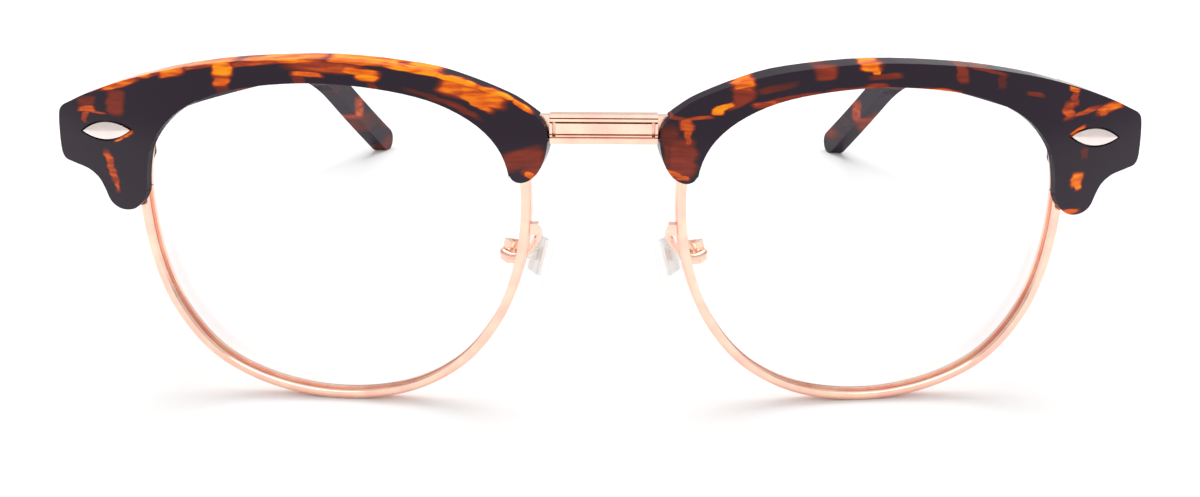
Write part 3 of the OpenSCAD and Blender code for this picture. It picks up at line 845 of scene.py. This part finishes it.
@dataclass(frozen=True)
class Eye:
    """The lens and its frame of reference, on the wearer's left.

    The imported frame's middle lies centre_y behind the part's own, as the part's source works it out.
    """

    lens_w: float = 50.0
    lens_h: float = 44.4
    lens_gap: float = 21.0
    lens_t: float = 1.8
    lens_r: float = 115.0
    turn: float = math.radians(5)
    rim_over: float = 0.93
    rim_lap: float = 0.32
    rim_d: float = 2.2
    bevel_t: float = 0.8
    fit: float = 0.05
    brow_front: float = 1.6
    centre_y: float = 69.9865
    steps: int = 10
    shape: tuple[Pair, ...] = (
        (1, 0.17), (0.988, 0.42), (0.928, 0.617), (0.76, 0.806), (0.48, 0.941), (0.08, 1),
        (-0.3, 0.977), (-0.62, 0.89), (-0.86, 0.72), (-0.982, 0.486), (-1, 0.15), (-0.944, -0.198),
        (-0.824, -0.505), (-0.628, -0.766), (-0.34, -0.941), (0.02, -1), (0.38, -0.941),
        (0.676, -0.779), (0.868, -0.505), (0.964, -0.185),
    )

    @property
    def middle_x(self) -> float:
        """The lens's middle, across the face."""
        return (self.lens_gap + self.lens_w) / 2

    @property
    def middle_z(self) -> float:
        """The lens's middle, above the table."""
        return self.lens_h / 2 + self.rim_over

    @property
    def rim_front(self) -> float:
        """Depth of the rim's front face under the lens's front."""
        return (self.lens_t - self.rim_d) / 2

    def sag(self, u: float, v: float) -> float:
        """Depth of the lens's front surface behind its middle."""
        return self.lens_r - math.sqrt(self.lens_r ** 2 - u * u - v * v)

    def to_part(self, u: float, s: float, v: float) -> Triple:
        """A place in the eye frame, in the part's frame."""
        c, n = math.cos(self.turn), math.sin(self.turn)
        return self.middle_x + u * c - s * n, u * n + s * c, self.middle_z + v

    def on_face(self, u: float, v: float) -> Triple:
        """A place on the brow's front face, in the part's frame."""
        return self.to_part(u, self.sag(u, v) - self.brow_front, v)

    def edge(self) -> list[Pair]:
        """The lens's outline."""
        half = [(a * self.lens_w / 2, b * self.lens_h / 2) for a, b in self.shape]
        return closed_curve(half, self.steps)


EYE = Eye()


def on_table(side: Side, x: float, y: float, z: float) -> Vector:
    """A place in the part's frame, drawn on the wearer's left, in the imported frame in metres."""
    return Vector((side.value * x, y - EYE.centre_y, z)) * MM


def eye_frame(side: Side) -> Place:
    """The eye frame's places on one side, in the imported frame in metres."""
    return lambda u, s, v: on_table(side, *EYE.to_part(u, s, v))


@dataclass
class Piece:
    """What every piece needs to stand in the scene."""

    side: Side

    def dress(self, obj: bpy.types.Object, mat: bpy.types.Material, slot: str, body: str, *nodes: str) -> None:
        """Gives a piece its material, its body and the CAD nodes that it stands for.

        Args:
            obj: The piece.
            mat: Its material.
            slot: The record's material slot. Not used.
            body: The CAD body that it rides on.
            nodes: The CAD nodes that it replaces. None if it is a CAD node itself.
        """
        obj.data.materials.clear()
        obj.data.materials.append(mat)
        if nodes:
            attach(obj, body)
            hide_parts(*nodes)
        log.info("%s: %d faces on %s", obj.name, len(obj.data.polygons), body)


@dataclass
class Brow(Piece):
    """One acetate brow, with polished rounded edges over the CAD brow's pockets.

    Its lip follows the lens's edge between the samples lip_from and lip_to. The nose_ values give
    the depth, place and run of the thinner corner beside the nose, and the block_ ones the start
    and rise of the thick end.
    """

    lip: float = 1.25
    lip_from: int = 4
    lip_to: int = 93
    thick: float = 4.4
    end_back: float = 12.0293
    flat_x: float = 61.167
    ramp: float = 3.3
    block_low: float = 8.4
    block_rise: float = 0.5
    nose_thin: float = 1.7
    nose_at: Pair = (-13.0, 15.6)
    nose_run: Pair = (10.0, 1.4)
    inside: float = 0.02
    outline_step: float = 0.4
    front_r: float = 0.45
    back_r: float = 1.4
    grid: float = 0.9
    shape: tuple[Pair, ...] = (
        (-23.5, 9.8), (-24.1, 8.95), (-25.1, 8.65), (-26.3, 9.1), (-27.3, 10.2), (-28, 11.9),
        (-28.3, 14), (-28.05, 15.5), (-27.3, 16.6), (-25.9, 17.85), (-23.3, 19.5), (-18.8, 21.25),
        (-12, 22.9), (-1.5, 23.9), (10.2, 23.35), (19.1, 22), (25.7, 20.35), (31.2, 18.5),
        (34.7, 17), (36.4, 16.1), (36.9, 14.7), (36.9, 10.9), (36.4, 9.4), (34.9, 8.9),
        (32.6, 8.3), (31.1, 7.3), (30.3, 6), (29.6, 4.4), (28.6, 3.6), (27.3, 3.35),
        (25.8, 3.7), (24.6, 4.7),
    )

    def outline(self) -> list[Pair]:
        """The brow's outline: the lens's upper edge with a lip below it, then the shape's curve.

        Returns:
            The samples, just inside the CAD brow's outline.
        """
        lower = grown(EYE.edge(), -self.lip)[self.lip_from:self.lip_to]
        whole = even(lower + open_curve(self.shape, 8), self.outline_step)
        return grown(eased(whole, 3), -self.inside)

    def face(self, u: float, v: float) -> float:
        """Depth of the front face."""
        return EYE.sag(u, v) - EYE.brow_front + self.inside

    def rear(self, u: float, v: float) -> float:
        """The back: a curved plate, thinner at its top beside the nose, and the thick end for the hinge.

        Args:
            u: The place across the eye.
            v: The place's height.

        Returns:
            The back's depth there.
        """
        c, n = math.cos(EYE.turn), math.sin(EYE.turn)
        plate = EYE.sag(u, v) + self.thick - EYE.brow_front
        limit = (self.end_back - u * n) / c
        # The block's depth depends on x and x on the depth, and a few rounds settle both
        s = plate
        for _ in range(4):
            x = EYE.middle_x + u * c - s * n
            share = min(max((x - self.flat_x + self.ramp) / self.ramp, 0.0), 1.0)
            block = (self.end_back / 2 * (1 + share) - u * n) / c if share > 0 else -1.0
            s = max(plate, plate + (block - plate) * ease((v - self.block_low) / self.block_rise))
        (at_u, at_v), (run_u, run_v) = self.nose_at, self.nose_run
        corner = self.nose_thin * ease((at_u - u) / run_u) * ease((v - at_v) / run_v)
        return min(s, limit) - self.inside - corner

    def build(self, mat: bpy.types.Material) -> None:
        """Makes the brow and dresses it.

        Args:
            mat: Its material.
        """
        node = "brow_" + self.side.word
        rings = rounded(self.front_r, self.back_r)
        plate = Plate(self.outline(), self.face, self.rear, eye_frame(self.side), rings, self.grid)
        obj = as_object(node + "_acetate", plate.mesh())
        kept_inside(obj, node)
        self.dress(obj, mat, "tortoiseshell_acetate", "front", node)


@dataclass
class Rim(Piece):
    """One wire rim, rounded outside and grooved for the lens, split at its closing blocks.

    The corner is the radius of its outer edges, and soft gives the steps that break its inner ones.
    """

    split_v: float = 6.1
    split_gap: float = 0.2
    step: float = 0.45
    corner: float = 0.42
    soft: Pair = (0.12, 0.03)

    def section(self) -> list[Pair]:
        """The rim's section.

        Returns:
            Its points: how far outside the lens's edge, and how deep under the lens's front.
        """
        out, lap, depth = EYE.rim_over, EYE.rim_lap, EYE.rim_d
        f, b = EYE.rim_front, EYE.rim_front + depth
        g0 = (EYE.lens_t - EYE.bevel_t) / 2 - EYE.fit
        g1 = g0 + EYE.bevel_t + 2 * EYE.fit
        corner, (far, near) = self.corner, self.soft
        turn = [math.radians(a) for a in range(0, 91, 15)]
        outer = [(out - corner + corner * math.sin(a), f + corner - corner * math.cos(a)) for a in turn]
        outer += [(out - corner + corner * math.cos(a), b - corner + corner * math.sin(a)) for a in turn]
        inner = [(-lap + far, b), (-lap + near, b - near), (-lap, b - far), (-lap, g1), (EYE.fit, g1),
                 (EYE.fit, g0), (-lap, g0), (-lap, f + far), (-lap + near, f + near), (-lap + far, f)]
        return outer + inner

    def path(self) -> list[Pair]:
        """The rim's way round the lens, from over the split to under it.

        Returns:
            The samples, an even distance apart.
        """
        edge = EYE.edge()
        above, first = self.passing(edge, self.split_v + self.split_gap / 2)
        below, last = self.passing(edge, self.split_v - self.split_gap / 2)
        return even([first] + edge[above:] + edge[:below] + [last], self.step, closed=False)

    def passing(self, edge: list[Pair], v: float) -> tuple[int, Pair]:
        """Finds where the lens's edge rises past a height at the temple.

        Args:
            edge: The lens's outline.
            v: The height.

        Returns:
            The number of the first sample over the height, and the place at the height.
        """
        i = next(i for i, sample in enumerate(edge) if sample[1] > v)
        (au, av), (bu, bv) = edge[i - 1], edge[i]
        t = (v - av) / (bv - av)
        return i, (au + (bu - au) * t, v)

    def build(self, mat: bpy.types.Material) -> None:
        """Makes the rim and dresses it.

        Args:
            mat: Its material.
        """
        path, section, place = self.path(), self.section(), eye_frame(self.side)
        rows = []
        for i, (u, v) in enumerate(path):
            (au, av), (bu, bv) = path[max(i - 1, 0)], path[min(i + 1, len(path) - 1)]
            length = math.hypot(bu - au, bv - av)
            ou, ov = (bv - av) / length, -(bu - au) / length
            row = []
            for o, d in section:
                pu, pv = u + o * ou, v + o * ov
                row.append(place(pu, EYE.sag(pu, pv) + d, pv))
            rows.append(row)
        node = "rim_" + self.side.word
        obj = as_object(node + "_wire", swept(rows))
        self.dress(obj, mat, "rose_gold", "front", node)


@dataclass
class Lens(Piece):
    """One clear lens with a bevel round its edge that sits in the rim's groove."""

    step: float = 0.8
    soft: float = 0.08
    slope: float = 0.1
    grid: float = 2.5

    def build(self, mat: bpy.types.Material) -> None:
        """Makes the lens and dresses it.

        Args:
            mat: Its material.
        """
        in_rim, soft = EYE.rim_lap + EYE.fit, self.soft
        shoulder = (EYE.lens_t - EYE.bevel_t) / 2
        half = [(in_rim + soft, 0), (in_rim, soft), (in_rim, shoulder), (0, shoulder + self.slope)]
        rings = [Ring(*row) for row in half] + [Ring(*row, True) for row in reversed(half)]
        edge, place = even(EYE.edge(), self.step), eye_frame(self.side)
        plate = Plate(edge, EYE.sag, lambda u, v: EYE.sag(u, v) + EYE.lens_t, place, rings, self.grid)
        node = "lens_" + self.side.word
        obj = as_object(node + "_clear", plate.mesh())
        self.dress(obj, mat, "clear_lens", "front", node)


@dataclass
class SmallMetal(Piece):
    """A small metal part as it was packed, with its edges broken by tumbling."""

    node: str = ""
    body: str = "front"
    slot: str = "rose_gold"
    edge: float = 0.1
    steps: int = 2
    flat: float = math.radians(0.5)

    def shape(self) -> bmesh.types.BMesh:
        """The CAD node's mesh, with the flat faces made whole.

        Returns:
            The new mesh.
        """
        bm = cad_copy(self.node)
        bmesh.ops.dissolve_limit(bm, angle_limit=self.flat, verts=bm.verts, edges=bm.edges)
        return bm

    def build(self, mat: bpy.types.Material) -> None:
        """Makes the piece, softens its edges and dresses it.

        Args:
            mat: Its material.
        """
        obj = as_object(self.node + "_metal", self.shape())
        bevel = obj.modifiers.new("edges", "BEVEL")
        bevel.width, bevel.segments, bevel.limit_method = self.edge * MM, self.steps, "ANGLE"
        bevel.angle_limit = SHARP
        bevel.use_clamp_overlap = True
        bevel.harden_normals = True
        self.dress(obj, mat, self.slot, self.body, self.node)


@dataclass
class Plaque(SmallMetal):
    """A pointed-oval rivet plaque: its front face is domed and its edge is broken."""

    drop: float = 0.16
    rings: tuple[float, ...] = (0.97, 0.9, 0.78, 0.62, 0.42, 0.2)

    def shape(self) -> bmesh.types.BMesh:
        """The CAD node's mesh with a dome for its front face.

        Returns:
            The new mesh.
        """
        bm = super().shape()
        front = max((f for f in bm.faces if f.normal.y < -0.5), key=lambda f: f.calc_area())
        loop, out = list(front.verts), front.normal.copy()
        middle = front.calc_center_median()
        rim = [v.co.copy() for v in loop]
        bm.faces.remove(front)
        rows = [loop]
        for share in self.rings:
            sink = self.drop * MM * share ** 2
            rows.append([bm.verts.new(middle + (p - middle) * share - out * sink) for p in rim])
        for v in loop:
            v.co -= out * self.drop * MM
        rows.append([bm.verts.new(middle)])
        for one, two in zip(rows, rows[1:]):
            band(bm, one, two)
        bmesh.ops.recalc_face_normals(bm, faces=bm.faces)
        return bm


@dataclass
class Temple(Piece):
    """One acetate temple: a slim blade that bends down behind the ear to a rounded paddle."""

    inner_x: float = 67.2108
    start_y: float = 12.1293
    thick: float = 4.0
    tip_thick: float = 3.2
    height: float = 7.9
    blade: float = 4.1
    paddle: float = 5.4
    straight: float = 80.0
    ear: float = 29.7
    bend: float = 48.0
    slope: float = math.radians(5.8)
    ear_slope: float = math.radians(38)
    flat: float = 33.0
    bow_r: float = 385.0
    rise: float = 16.3
    taper: float = 1.7
    inside: float = 0.02
    samples: tuple[int, int, int] = (16, 24, 4)
    outline_step: float = 0.6
    edge_r: float = 1.0
    hinge_share: float = 0.35
    hinge_run: float = 9.0
    grid: float = 1.6

    def __post_init__(self) -> None:
        """Works out the places along the path."""
        self.path_z = EYE.middle_z + self.rise - self.blade / 2
        self.bend_start = (self.start_y + self.straight, self.path_z - self.straight * math.tan(self.slope))
        self.bend_middle = (
            self.bend_start[0] - self.bend * math.sin(self.slope),
            self.bend_start[1] - self.bend * math.cos(self.slope),
        )
        self.tip_r = self.paddle / 2
        self.tip = self.ear_at(self.ear - self.tip_r)
        self.tip_y = self.tip[0] + self.tip_r
        self.flat_end = self.start_y + self.flat

    def bend_at(self, a: float) -> Pair:
        """A place on the ear bend, at a slope."""
        return self.bend_middle[0] + self.bend * math.sin(a), self.bend_middle[1] + self.bend * math.cos(a)

    def ear_at(self, s: float) -> Pair:
        """A place on the straight ear piece."""
        y, z = self.bend_at(self.ear_slope)
        return y + s * math.cos(self.ear_slope), z - s * math.sin(self.ear_slope)

    def bow(self, y: float) -> float:
        """How far the temple has curved in at a place along Y."""
        past = max(0.0, y - self.flat_end)
        return self.bow_r - math.sqrt(self.bow_r ** 2 - past ** 2)

    def outer_x(self, y: float, z: float) -> float:
        """The outer face."""
        share = max(0.0, y - self.flat_end) / (self.tip_y - self.flat_end)
        return self.inner_x + self.thick + (self.tip_thick - self.thick) * share - self.bow(y) - self.inside

    def inner(self, y: float, z: float) -> float:
        """The inner face."""
        return self.inner_x - self.bow(y) + self.inside

    def outline(self) -> list[Pair]:
        """The temple from the side.

        Returns:
            The samples, just inside the CAD temple's outline.
        """
        stations: list[tuple[Pair, float]] = []
        start, bend, ear = self.samples
        for k in range(start + 1):
            d = self.flat * k / start
            stations.append(((self.start_y + d, self.path_z - d * math.tan(self.slope)), self.slope))
        for k in range(bend + 1):
            a = self.slope + (self.ear_slope - self.slope) * k / bend
            stations.append((self.bend_at(a), a))
        for k in range(1, ear + 1):
            stations.append((self.ear_at(k / ear * (self.ear - self.tip_r)), self.ear_slope))
        top, low = [], []
        for (y, z), a in stations:
            far = max(0.0, y - self.bend_start[0]) / (self.tip[0] - self.bend_start[0])
            up = self.blade / 2 + (self.paddle - self.blade) / 2 * far
            down = up + (self.height - self.blade) * max(0.0, 1 - (y - self.start_y) / self.flat) ** self.taper
            ly, lz = math.sin(a - self.slope), math.cos(a - self.slope)
            top.append((y + up * ly, z + up * lz))
            low.append((y - down * ly, z - down * lz))
        lean = self.ear_slope - self.slope
        turns = [math.radians(a) + lean for a in range(10, 180, 10)]
        tip = [(self.tip[0] + self.tip_r * math.sin(a), self.tip[1] + self.tip_r * math.cos(a)) for a in turns]
        whole = even(top + tip + low[::-1], self.outline_step)
        return grown(eased(whole, 2), -self.inside)

    def softness(self, y: float, z: float) -> float:
        """The share of the edges' rounding: small at the hinge, full along the blade."""
        return self.hinge_share + (1 - self.hinge_share) * ease((y - self.start_y - 0.5) / self.hinge_run)

    def build(self, mat: bpy.types.Material) -> None:
        """Makes the temple and dresses it.

        Args:
            mat: Its material.
        """
        node = "temple_" + self.side.word
        plate = Plate(
            self.outline(), self.inner, self.outer_x, lambda y, x, z: on_table(self.side, x, y, z),
            rounded(self.edge_r, self.edge_r), self.grid, self.softness,
        )
        obj = as_object(node + "_acetate", plate.mesh())
        kept_inside(obj, node)
        self.dress(obj, mat, "tortoiseshell_acetate", node, node)


@dataclass
class NosePad(Piece):
    """A moulded silicone pad: a soft drop shape, fuller at its foot, round a small core.

    It is drawn a few hundredths smaller than the CAD pad, in which it lies.
    """

    pivot: Triple = (12.0, 7.8004, 19.63)
    lean: float = math.radians(16)
    toe: float = math.radians(30)
    off: float = 3.4
    length: float = 13.6
    width: float = 7.6
    thick: float = 2.3
    taper: float = 0.12
    edge_share: float = 0.25
    smaller: Triple = (0.96, 0.98, 0.99)
    rings: int = 20
    sides: int = 40

    def place(self, x: float, y: float, z: float) -> Vector:
        """A place in the pad's own frame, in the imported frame.

        Args:
            x: Across the pad, towards the wearer's side.
            y: Along the pad's width.
            z: Up the pad.

        Returns:
            The place in metres.
        """
        c, n = math.cos(-self.lean), math.sin(-self.lean)
        x, z = x * c + z * n, z * c - x * n
        c, n = math.cos(-self.toe), math.sin(-self.toe)
        x, y = x * c - y * n, x * n + y * c
        return on_table(self.side, self.pivot[0] + x, self.pivot[1] + y, self.pivot[2] + z)

    def build(self, mat: bpy.types.Material) -> None:
        """Makes the pad and dresses it.

        Args:
            mat: Its material.
        """
        rows = []
        for i in range(self.rings + 1):
            t = -1 + 2 * i / self.rings
            # The powers fill the pad's outline and edge out from those of an ellipse
            rise = math.sin(t * math.pi / 2)
            girth = math.sqrt(max(0.0, 1 - rise ** 2)) ** 0.9
            wide = self.width / 2 * girth * (1 - self.taper * rise)
            deep = self.thick / 2 * (self.edge_share + (1 - self.edge_share) * girth) * girth ** 0.25
            high = rise * self.length / 2
            row = []
            for k in range(self.sides):
                a = 2 * math.pi * k / self.sides
                y, x = math.cos(a), math.sin(a)
                y = math.copysign(abs(y) ** 0.92, y)
                across, along, up = x * deep * self.smaller[0], y * wide * self.smaller[1], high * self.smaller[2]
                row.append(self.place(across - self.off, along, up))
            rows.append(row)
        bm = bmesh.new()
        loops = [[bm.verts.new(p) for p in row] for row in rows[1:-1]]
        for one, two in zip(loops, loops[1:]):
            band(bm, one, two)
        for loop, end in ((loops[0], rows[0]), (loops[-1], rows[-1])):
            band(bm, loop, [bm.verts.new(sum(end, Vector()) / len(end))])
        bmesh.ops.recalc_face_normals(bm, faces=bm.faces)
        node = "nose_pad_" + self.side.word
        obj = as_object(node + "_silicone", bm, math.pi)
        self.dress(obj, mat, "clear_silicone", node, node)


# Studio


@dataclass(frozen=True)
class Studio:
    """A white paper sweep under a wide soft light, with the camera where the photograph's was."""

    focal: float = 33.175
    sensor: float = 36.0
    camera_at: Triple = (0.0013061, -0.204846, 0.070888)
    yaw: float = -0.934
    pitch: float = 71.919
    roll: float = 0.598
    shift: Pair = (-30.8 / 1200, -29.2 / 1200)
    floor_size: float = 8.0
    room: float = 0.78
    softbox: float = 1.2
    softbox_power: float = 14.0
    softbox_at: Triple = (0.0, 0.35, 1.3)

    def camera(self) -> None:
        """Makes the camera."""
        lens = bpy.data.cameras.new("camera")
        lens.sensor_width, lens.lens = self.sensor, self.focal
        lens.shift_x, lens.shift_y = self.shift
        lens.clip_start, lens.clip_end = 0.01, 50.0
        eye = bpy.data.objects.new("camera", lens)
        turns = ((self.yaw, "Z"), (self.pitch, "X"), (self.roll, "Z"))
        eye.matrix_world = Matrix.Translation(self.camera_at)
        for angle, axis in turns:
            eye.matrix_world = eye.matrix_world @ Matrix.Rotation(math.radians(angle), 4, axis)
        bpy.context.scene.collection.objects.link(eye)
        bpy.context.scene.camera = eye

    def floor(self) -> None:
        """Makes the paper floor."""
        bm = bmesh.new()
        bmesh.ops.create_grid(bm, x_segments=8, y_segments=8, size=self.floor_size / 2)
        obj = as_object("floor", bm)
        obj.data.materials.append(PaperFloor().build())

    def lamp(self) -> None:
        """Makes the square soft light, which faces the glasses."""
        light = bpy.data.lights.new("softbox_above", "AREA")
        light.shape, light.size, light.energy = "SQUARE", self.softbox, self.softbox_power
        obj = bpy.data.objects.new("softbox_above", light)
        obj.location = self.softbox_at
        obj.rotation_euler = (-Vector(self.softbox_at)).to_track_quat("-Z", "Y").to_euler()
        bpy.context.scene.collection.objects.link(obj)

    def build(self) -> None:
        """Makes the white room, the camera, the floor and the light."""
        scene = bpy.context.scene
        world = bpy.data.worlds.new("white_room")
        world.use_nodes = True
        world.node_tree.nodes["Background"].inputs["Color"].default_value = (1, 1, 1, 1)
        world.node_tree.nodes["Background"].inputs["Strength"].default_value = self.room
        scene.world = world
        scene.view_settings.view_transform = "Standard"
        scene.view_settings.look = "None"
        self.camera()
        self.floor()
        self.lamp()


# The patches of each brow, as u, v, half sizes, tilt, tone and, where it matters, depth. On the right brow, the
# rows along the top edge and the front crease are partly a painted highlight.

BROW_LEFT_WINDOWS = tuple(Window(*row) for row in (
    (-18.0, 21.2, 1.3, 0.45, 14, 0.88), (-18.1, 20.1, 1.3, 1.0, 8, 0.5),
    (-20.5, 18.35, 1.3, 0.35, 20, 0.95), (-21.2, 17.9, 0.8, 0.35, 5, 0.9),
    (-18.4, 19.0, 1.5, 0.35, 25, 0.46), (-23.6, 17.0, 1.7, 0.2, 8, 0.6),
    (-26.0, 17.0, 1.3, 0.18, -8, 0.46), (-15.2, 18.9, 1.6, 0.4, 10, 0.72),
    (-11.5, 19.8, 2.7, 0.3, 11, 0.48), (-4.5, 20.8, 3.2, 0.2, 4, 0.5), (-1.5, 21.1, 1.5, 0.4, 0, 0.46),
    (2.2, 20.8, 3.0, 0.25, -2, 0.58), (7.2, 20.4, 2.4, 0.28, -6, 0.64), (-25.1, 16.1, 0.75, 0.8, 0, 0.62),
    (-24.9, 14.7, 0.42, 1.3, 0, 0.54), (-25.6, 11.9, 1.6, 2.3, 0, 0.42), (-26.8, 12.6, 1.1, 3.0, 6, 0.3),
    (-26.6, 9.9, 1.3, 0.3, -25, 0.66), (-25.4, 9.4, 0.9, 0.3, 0, 0.74), (-8.0, 22.7, 1.35, 0.75, 4, 0.46),
    (-14.0, 20.9, 2.4, 0.35, 12, 0.26), (-2.3, 23.5, 1.3, 0.55, 0, 0.98), (-1.8, 22.9, 0.6, 0.4, 0, 0.8),
    (-0.6, 22.3, 1.9, 0.28, 4, 0.36), (9.6, 22.7, 0.75, 1.2, 0, 0.42), (15.0, 21.4, 0.6, 0.8, 0, 0.24),
    (13.2, 22.8, 2.4, 0.2, -14, 0.42), (19.9, 19.6, 1.1, 0.3, -12, 0.34),
    (25.6, 20.0, 0.75, 0.35, -18, 0.82), (25.8, 18.8, 0.5, 0.9, 15, 0.56),
    (25.0, 17.3, 0.85, 1.1, 8, 0.64), (27.6, 17.0, 2.0, 0.26, 16, 0.66), (31.4, 17.3, 2.1, 0.6, 12, 0.74),
    (30.4, 16.8, 0.6, 0.5, 0, 0.8), (26.9, 8.1, 0.95, 0.95, -4, 0.8), (27.0, 7.6, 0.6, 0.9, 20, 0.84),
    (27.9, 11.5, 0.5, 0.7, 0, 0.26), (25.6, 3.9, 2.0, 0.35, -4, 0.66),
    (26.7, 14.7, 1.1, 0.3, 25, 0.8, 1.2),
))
BROW_RIGHT_PATCHES_AND_CREASE_HIGHLIGHT = tuple(Window(*row) for row in (
    # The rows on this line and the next lie on the top edge and top band: amber of the acetate, brightened into a
    # painted highlight where light glows through the edge
    (5.6, 23.8, 4.6, 0.3, -3, 0.92), (14.6, 22.95, 4.4, 0.28, -9, 0.86),
    (22.8, 21.3, 4.4, 0.28, -14, 0.94), (29.6, 19.3, 2.6, 0.26, -18, 0.84),
    (26.8, 19.75, 2.8, 0.4, -17, 0.8), (21.8, 21.3, 2.6, 0.28, -15, 0.6), (19.2, 21.6, 1.6, 0.5, -13, 0.9),
    (15.5, 22.5, 2.2, 0.25, -11, 0.62), (12.3, 22.35, 1.25, 1.0, 0, 0.98), (12.3, 21.0, 1.1, 0.8, 0, 0.72),
    (12.1, 19.9, 0.9, 0.5, 0, 0.28), (8.0, 23.2, 3.4, 0.28, -6, 0.72), (2.4, 23.7, 3.2, 0.3, -2, 0.78),
    (-1.0, 23.0, 4.4, 0.7, 2, 0.6), (1.2, 22.0, 1.8, 0.28, 2, 0.8), (2.2, 21.0, 0.75, 0.8, -12, 0.42),
    (-5.4, 22.5, 2.3, 0.4, 6, 0.82), (-6.4, 21.7, 1.3, 0.4, 8, 0.82), (-7.0, 20.6, 0.6, 0.6, 0, 0.3),
    # The rows on this line and the next follow the front crease just under its edge: amber of the acetate,
    # brightened into a painted highlight line along the crease
    (-5.0, 23.65, 3.8, 0.3, 5, 1.0), (-11.5, 22.75, 3.6, 0.3, 10, 1.0), (-17.2, 21.4, 2.8, 0.3, 16, 1.0),
    (-21.7, 19.95, 2.6, 0.28, 20, 1.0, 1.4), (-25.1, 18.2, 1.5, 0.24, 32, 0.92, 1.4),
    (-17.4, 20.4, 2.3, 0.9, 14, 0.78, 1.6), (-20.2, 19.4, 2.9, 0.85, 18, 0.92, 1.6),
    (-19.4, 18.9, 2.4, 0.4, 30, 0.84), (-18.0, 18.0, 2.3, 0.3, 26, 0.32),
    (-14.3, 19.5, 3.2, 0.28, 17, 0.28), (-25.3, 11.7, 2.5, 1.2, -10, 0.42),
    (-26.5, 10.6, 1.2, 1.0, 0, 0.42), (-26.2, 9.6, 0.6, 0.35, 20, 0.74), (27.5, 17.3, 1.2, 1.5, 5, 0.38),
    (32.2, 17.1, 1.3, 0.6, -8, 0.34), (32.3, 16.1, 1.3, 0.38, -5, 0.74), (30.5, 15.8, 1.2, 0.16, 0, 0.56),
    (32.3, 15.1, 0.4, 0.7, -10, 0.6), (28.9, 8.9, 0.62, 1.9, -8, 0.66), (28.5, 7.2, 0.35, 1.4, -8, 0.62),
    (26.6, 13.1, 1.3, 0.4, -25, 1.0, 1.2),
))
EAR_WINDOWS = (EarWindow(123.5, 14.0, 2.4, 2.6, 0, 0.6, 100.0),)


def main() -> None:
    """Builds the scene, one sub-assembly after the other."""
    logging.basicConfig(level=logging.INFO, format="%(name)s %(message)s")
    rose = PlatedMetal("rose_gold_plate_tumbled", "#ffd6bf", "#fcc6b4").build()
    # The bridge gets painted shade in its corners and grooves
    bar = PlatedMetal("rose_gold_plate_filmed_corners", "#ffd6bf", "#fcc6b4", corner_mm=0.45).build()
    pale = PlatedMetal("pale_gold_plate_tumbled", "#f2e6e0", "#eadcd8", roughness=0.3, line_mm=1.2).build()
    screw = TurnedSteel("stainless_steel_turned").build()
    wire = TurnedSteel("stainless_steel_drawn", "#c4c4c6", ring_mm=0.3, roughness=0.32).build()
    core = TurnedSteel("stainless_steel_stamped_bright", "#f4efec", ring_mm=0.3, roughness=0.36).build()
    lens = CoatedLens("cast_resin_lens_coated").build()
    rubber = MouldedSilicone("clear_silicone_moulded").build()
    shells = {
        Side.LEFT: TortoiseAcetate("tortoiseshell_acetate_brow_left", BROW_LEFT_WINDOWS, Side.LEFT),
        Side.RIGHT: TortoiseAcetate("tortoiseshell_acetate_brow_right", BROW_RIGHT_PATCHES_AND_CREASE_HIGHLIGHT, Side.RIGHT),
    }
    temple_shell = TortoiseAcetate("tortoiseshell_acetate_temple", EAR_WINDOWS, mottled=0.4).build()
    Studio().build()
    SmallMetal(Side.LEFT, "bridge", edge=0.06).build(bar)
    for side in Side:
        word = side.word
        Brow(side).build(shells[side].build())
        Rim(side).build(rose)
        Lens(side).build(lens)
        Temple(side).build(temple_shell)
        NosePad(side).build(rubber)
        Plaque(side, "rivet_plaque_" + word, slot="pale_gold", edge=0.07, steps=3).build(pale)
        for kind in ("hinge_front_", "closing_block_upper_", "closing_block_lower_", "pad_box_"):
            SmallMetal(side, kind + word, edge=0.08).build(rose)
        SmallMetal(side, "hinge_temple_" + word, body="temple_" + word, edge=0.08).build(rose)
        for kind in ("hinge_screw_", "pad_screw_", "closing_screw_", "bridge_screw_", "brow_screw_"):
            SmallMetal(side, kind + word, slot="screw_steel", edge=0.05).build(screw)
        SmallMetal(side, "pad_core_" + word, "nose_pad_" + word, slot="core_steel", edge=0.05).build(core)
        SmallMetal(side, "core_wire_" + word, "temple_" + word, slot="core_steel", edge=0.12).build(wire)
        SmallMetal(side, "pad_arm_" + word, edge=0.02).build(rose)


if __name__ == "__main__":
    main()
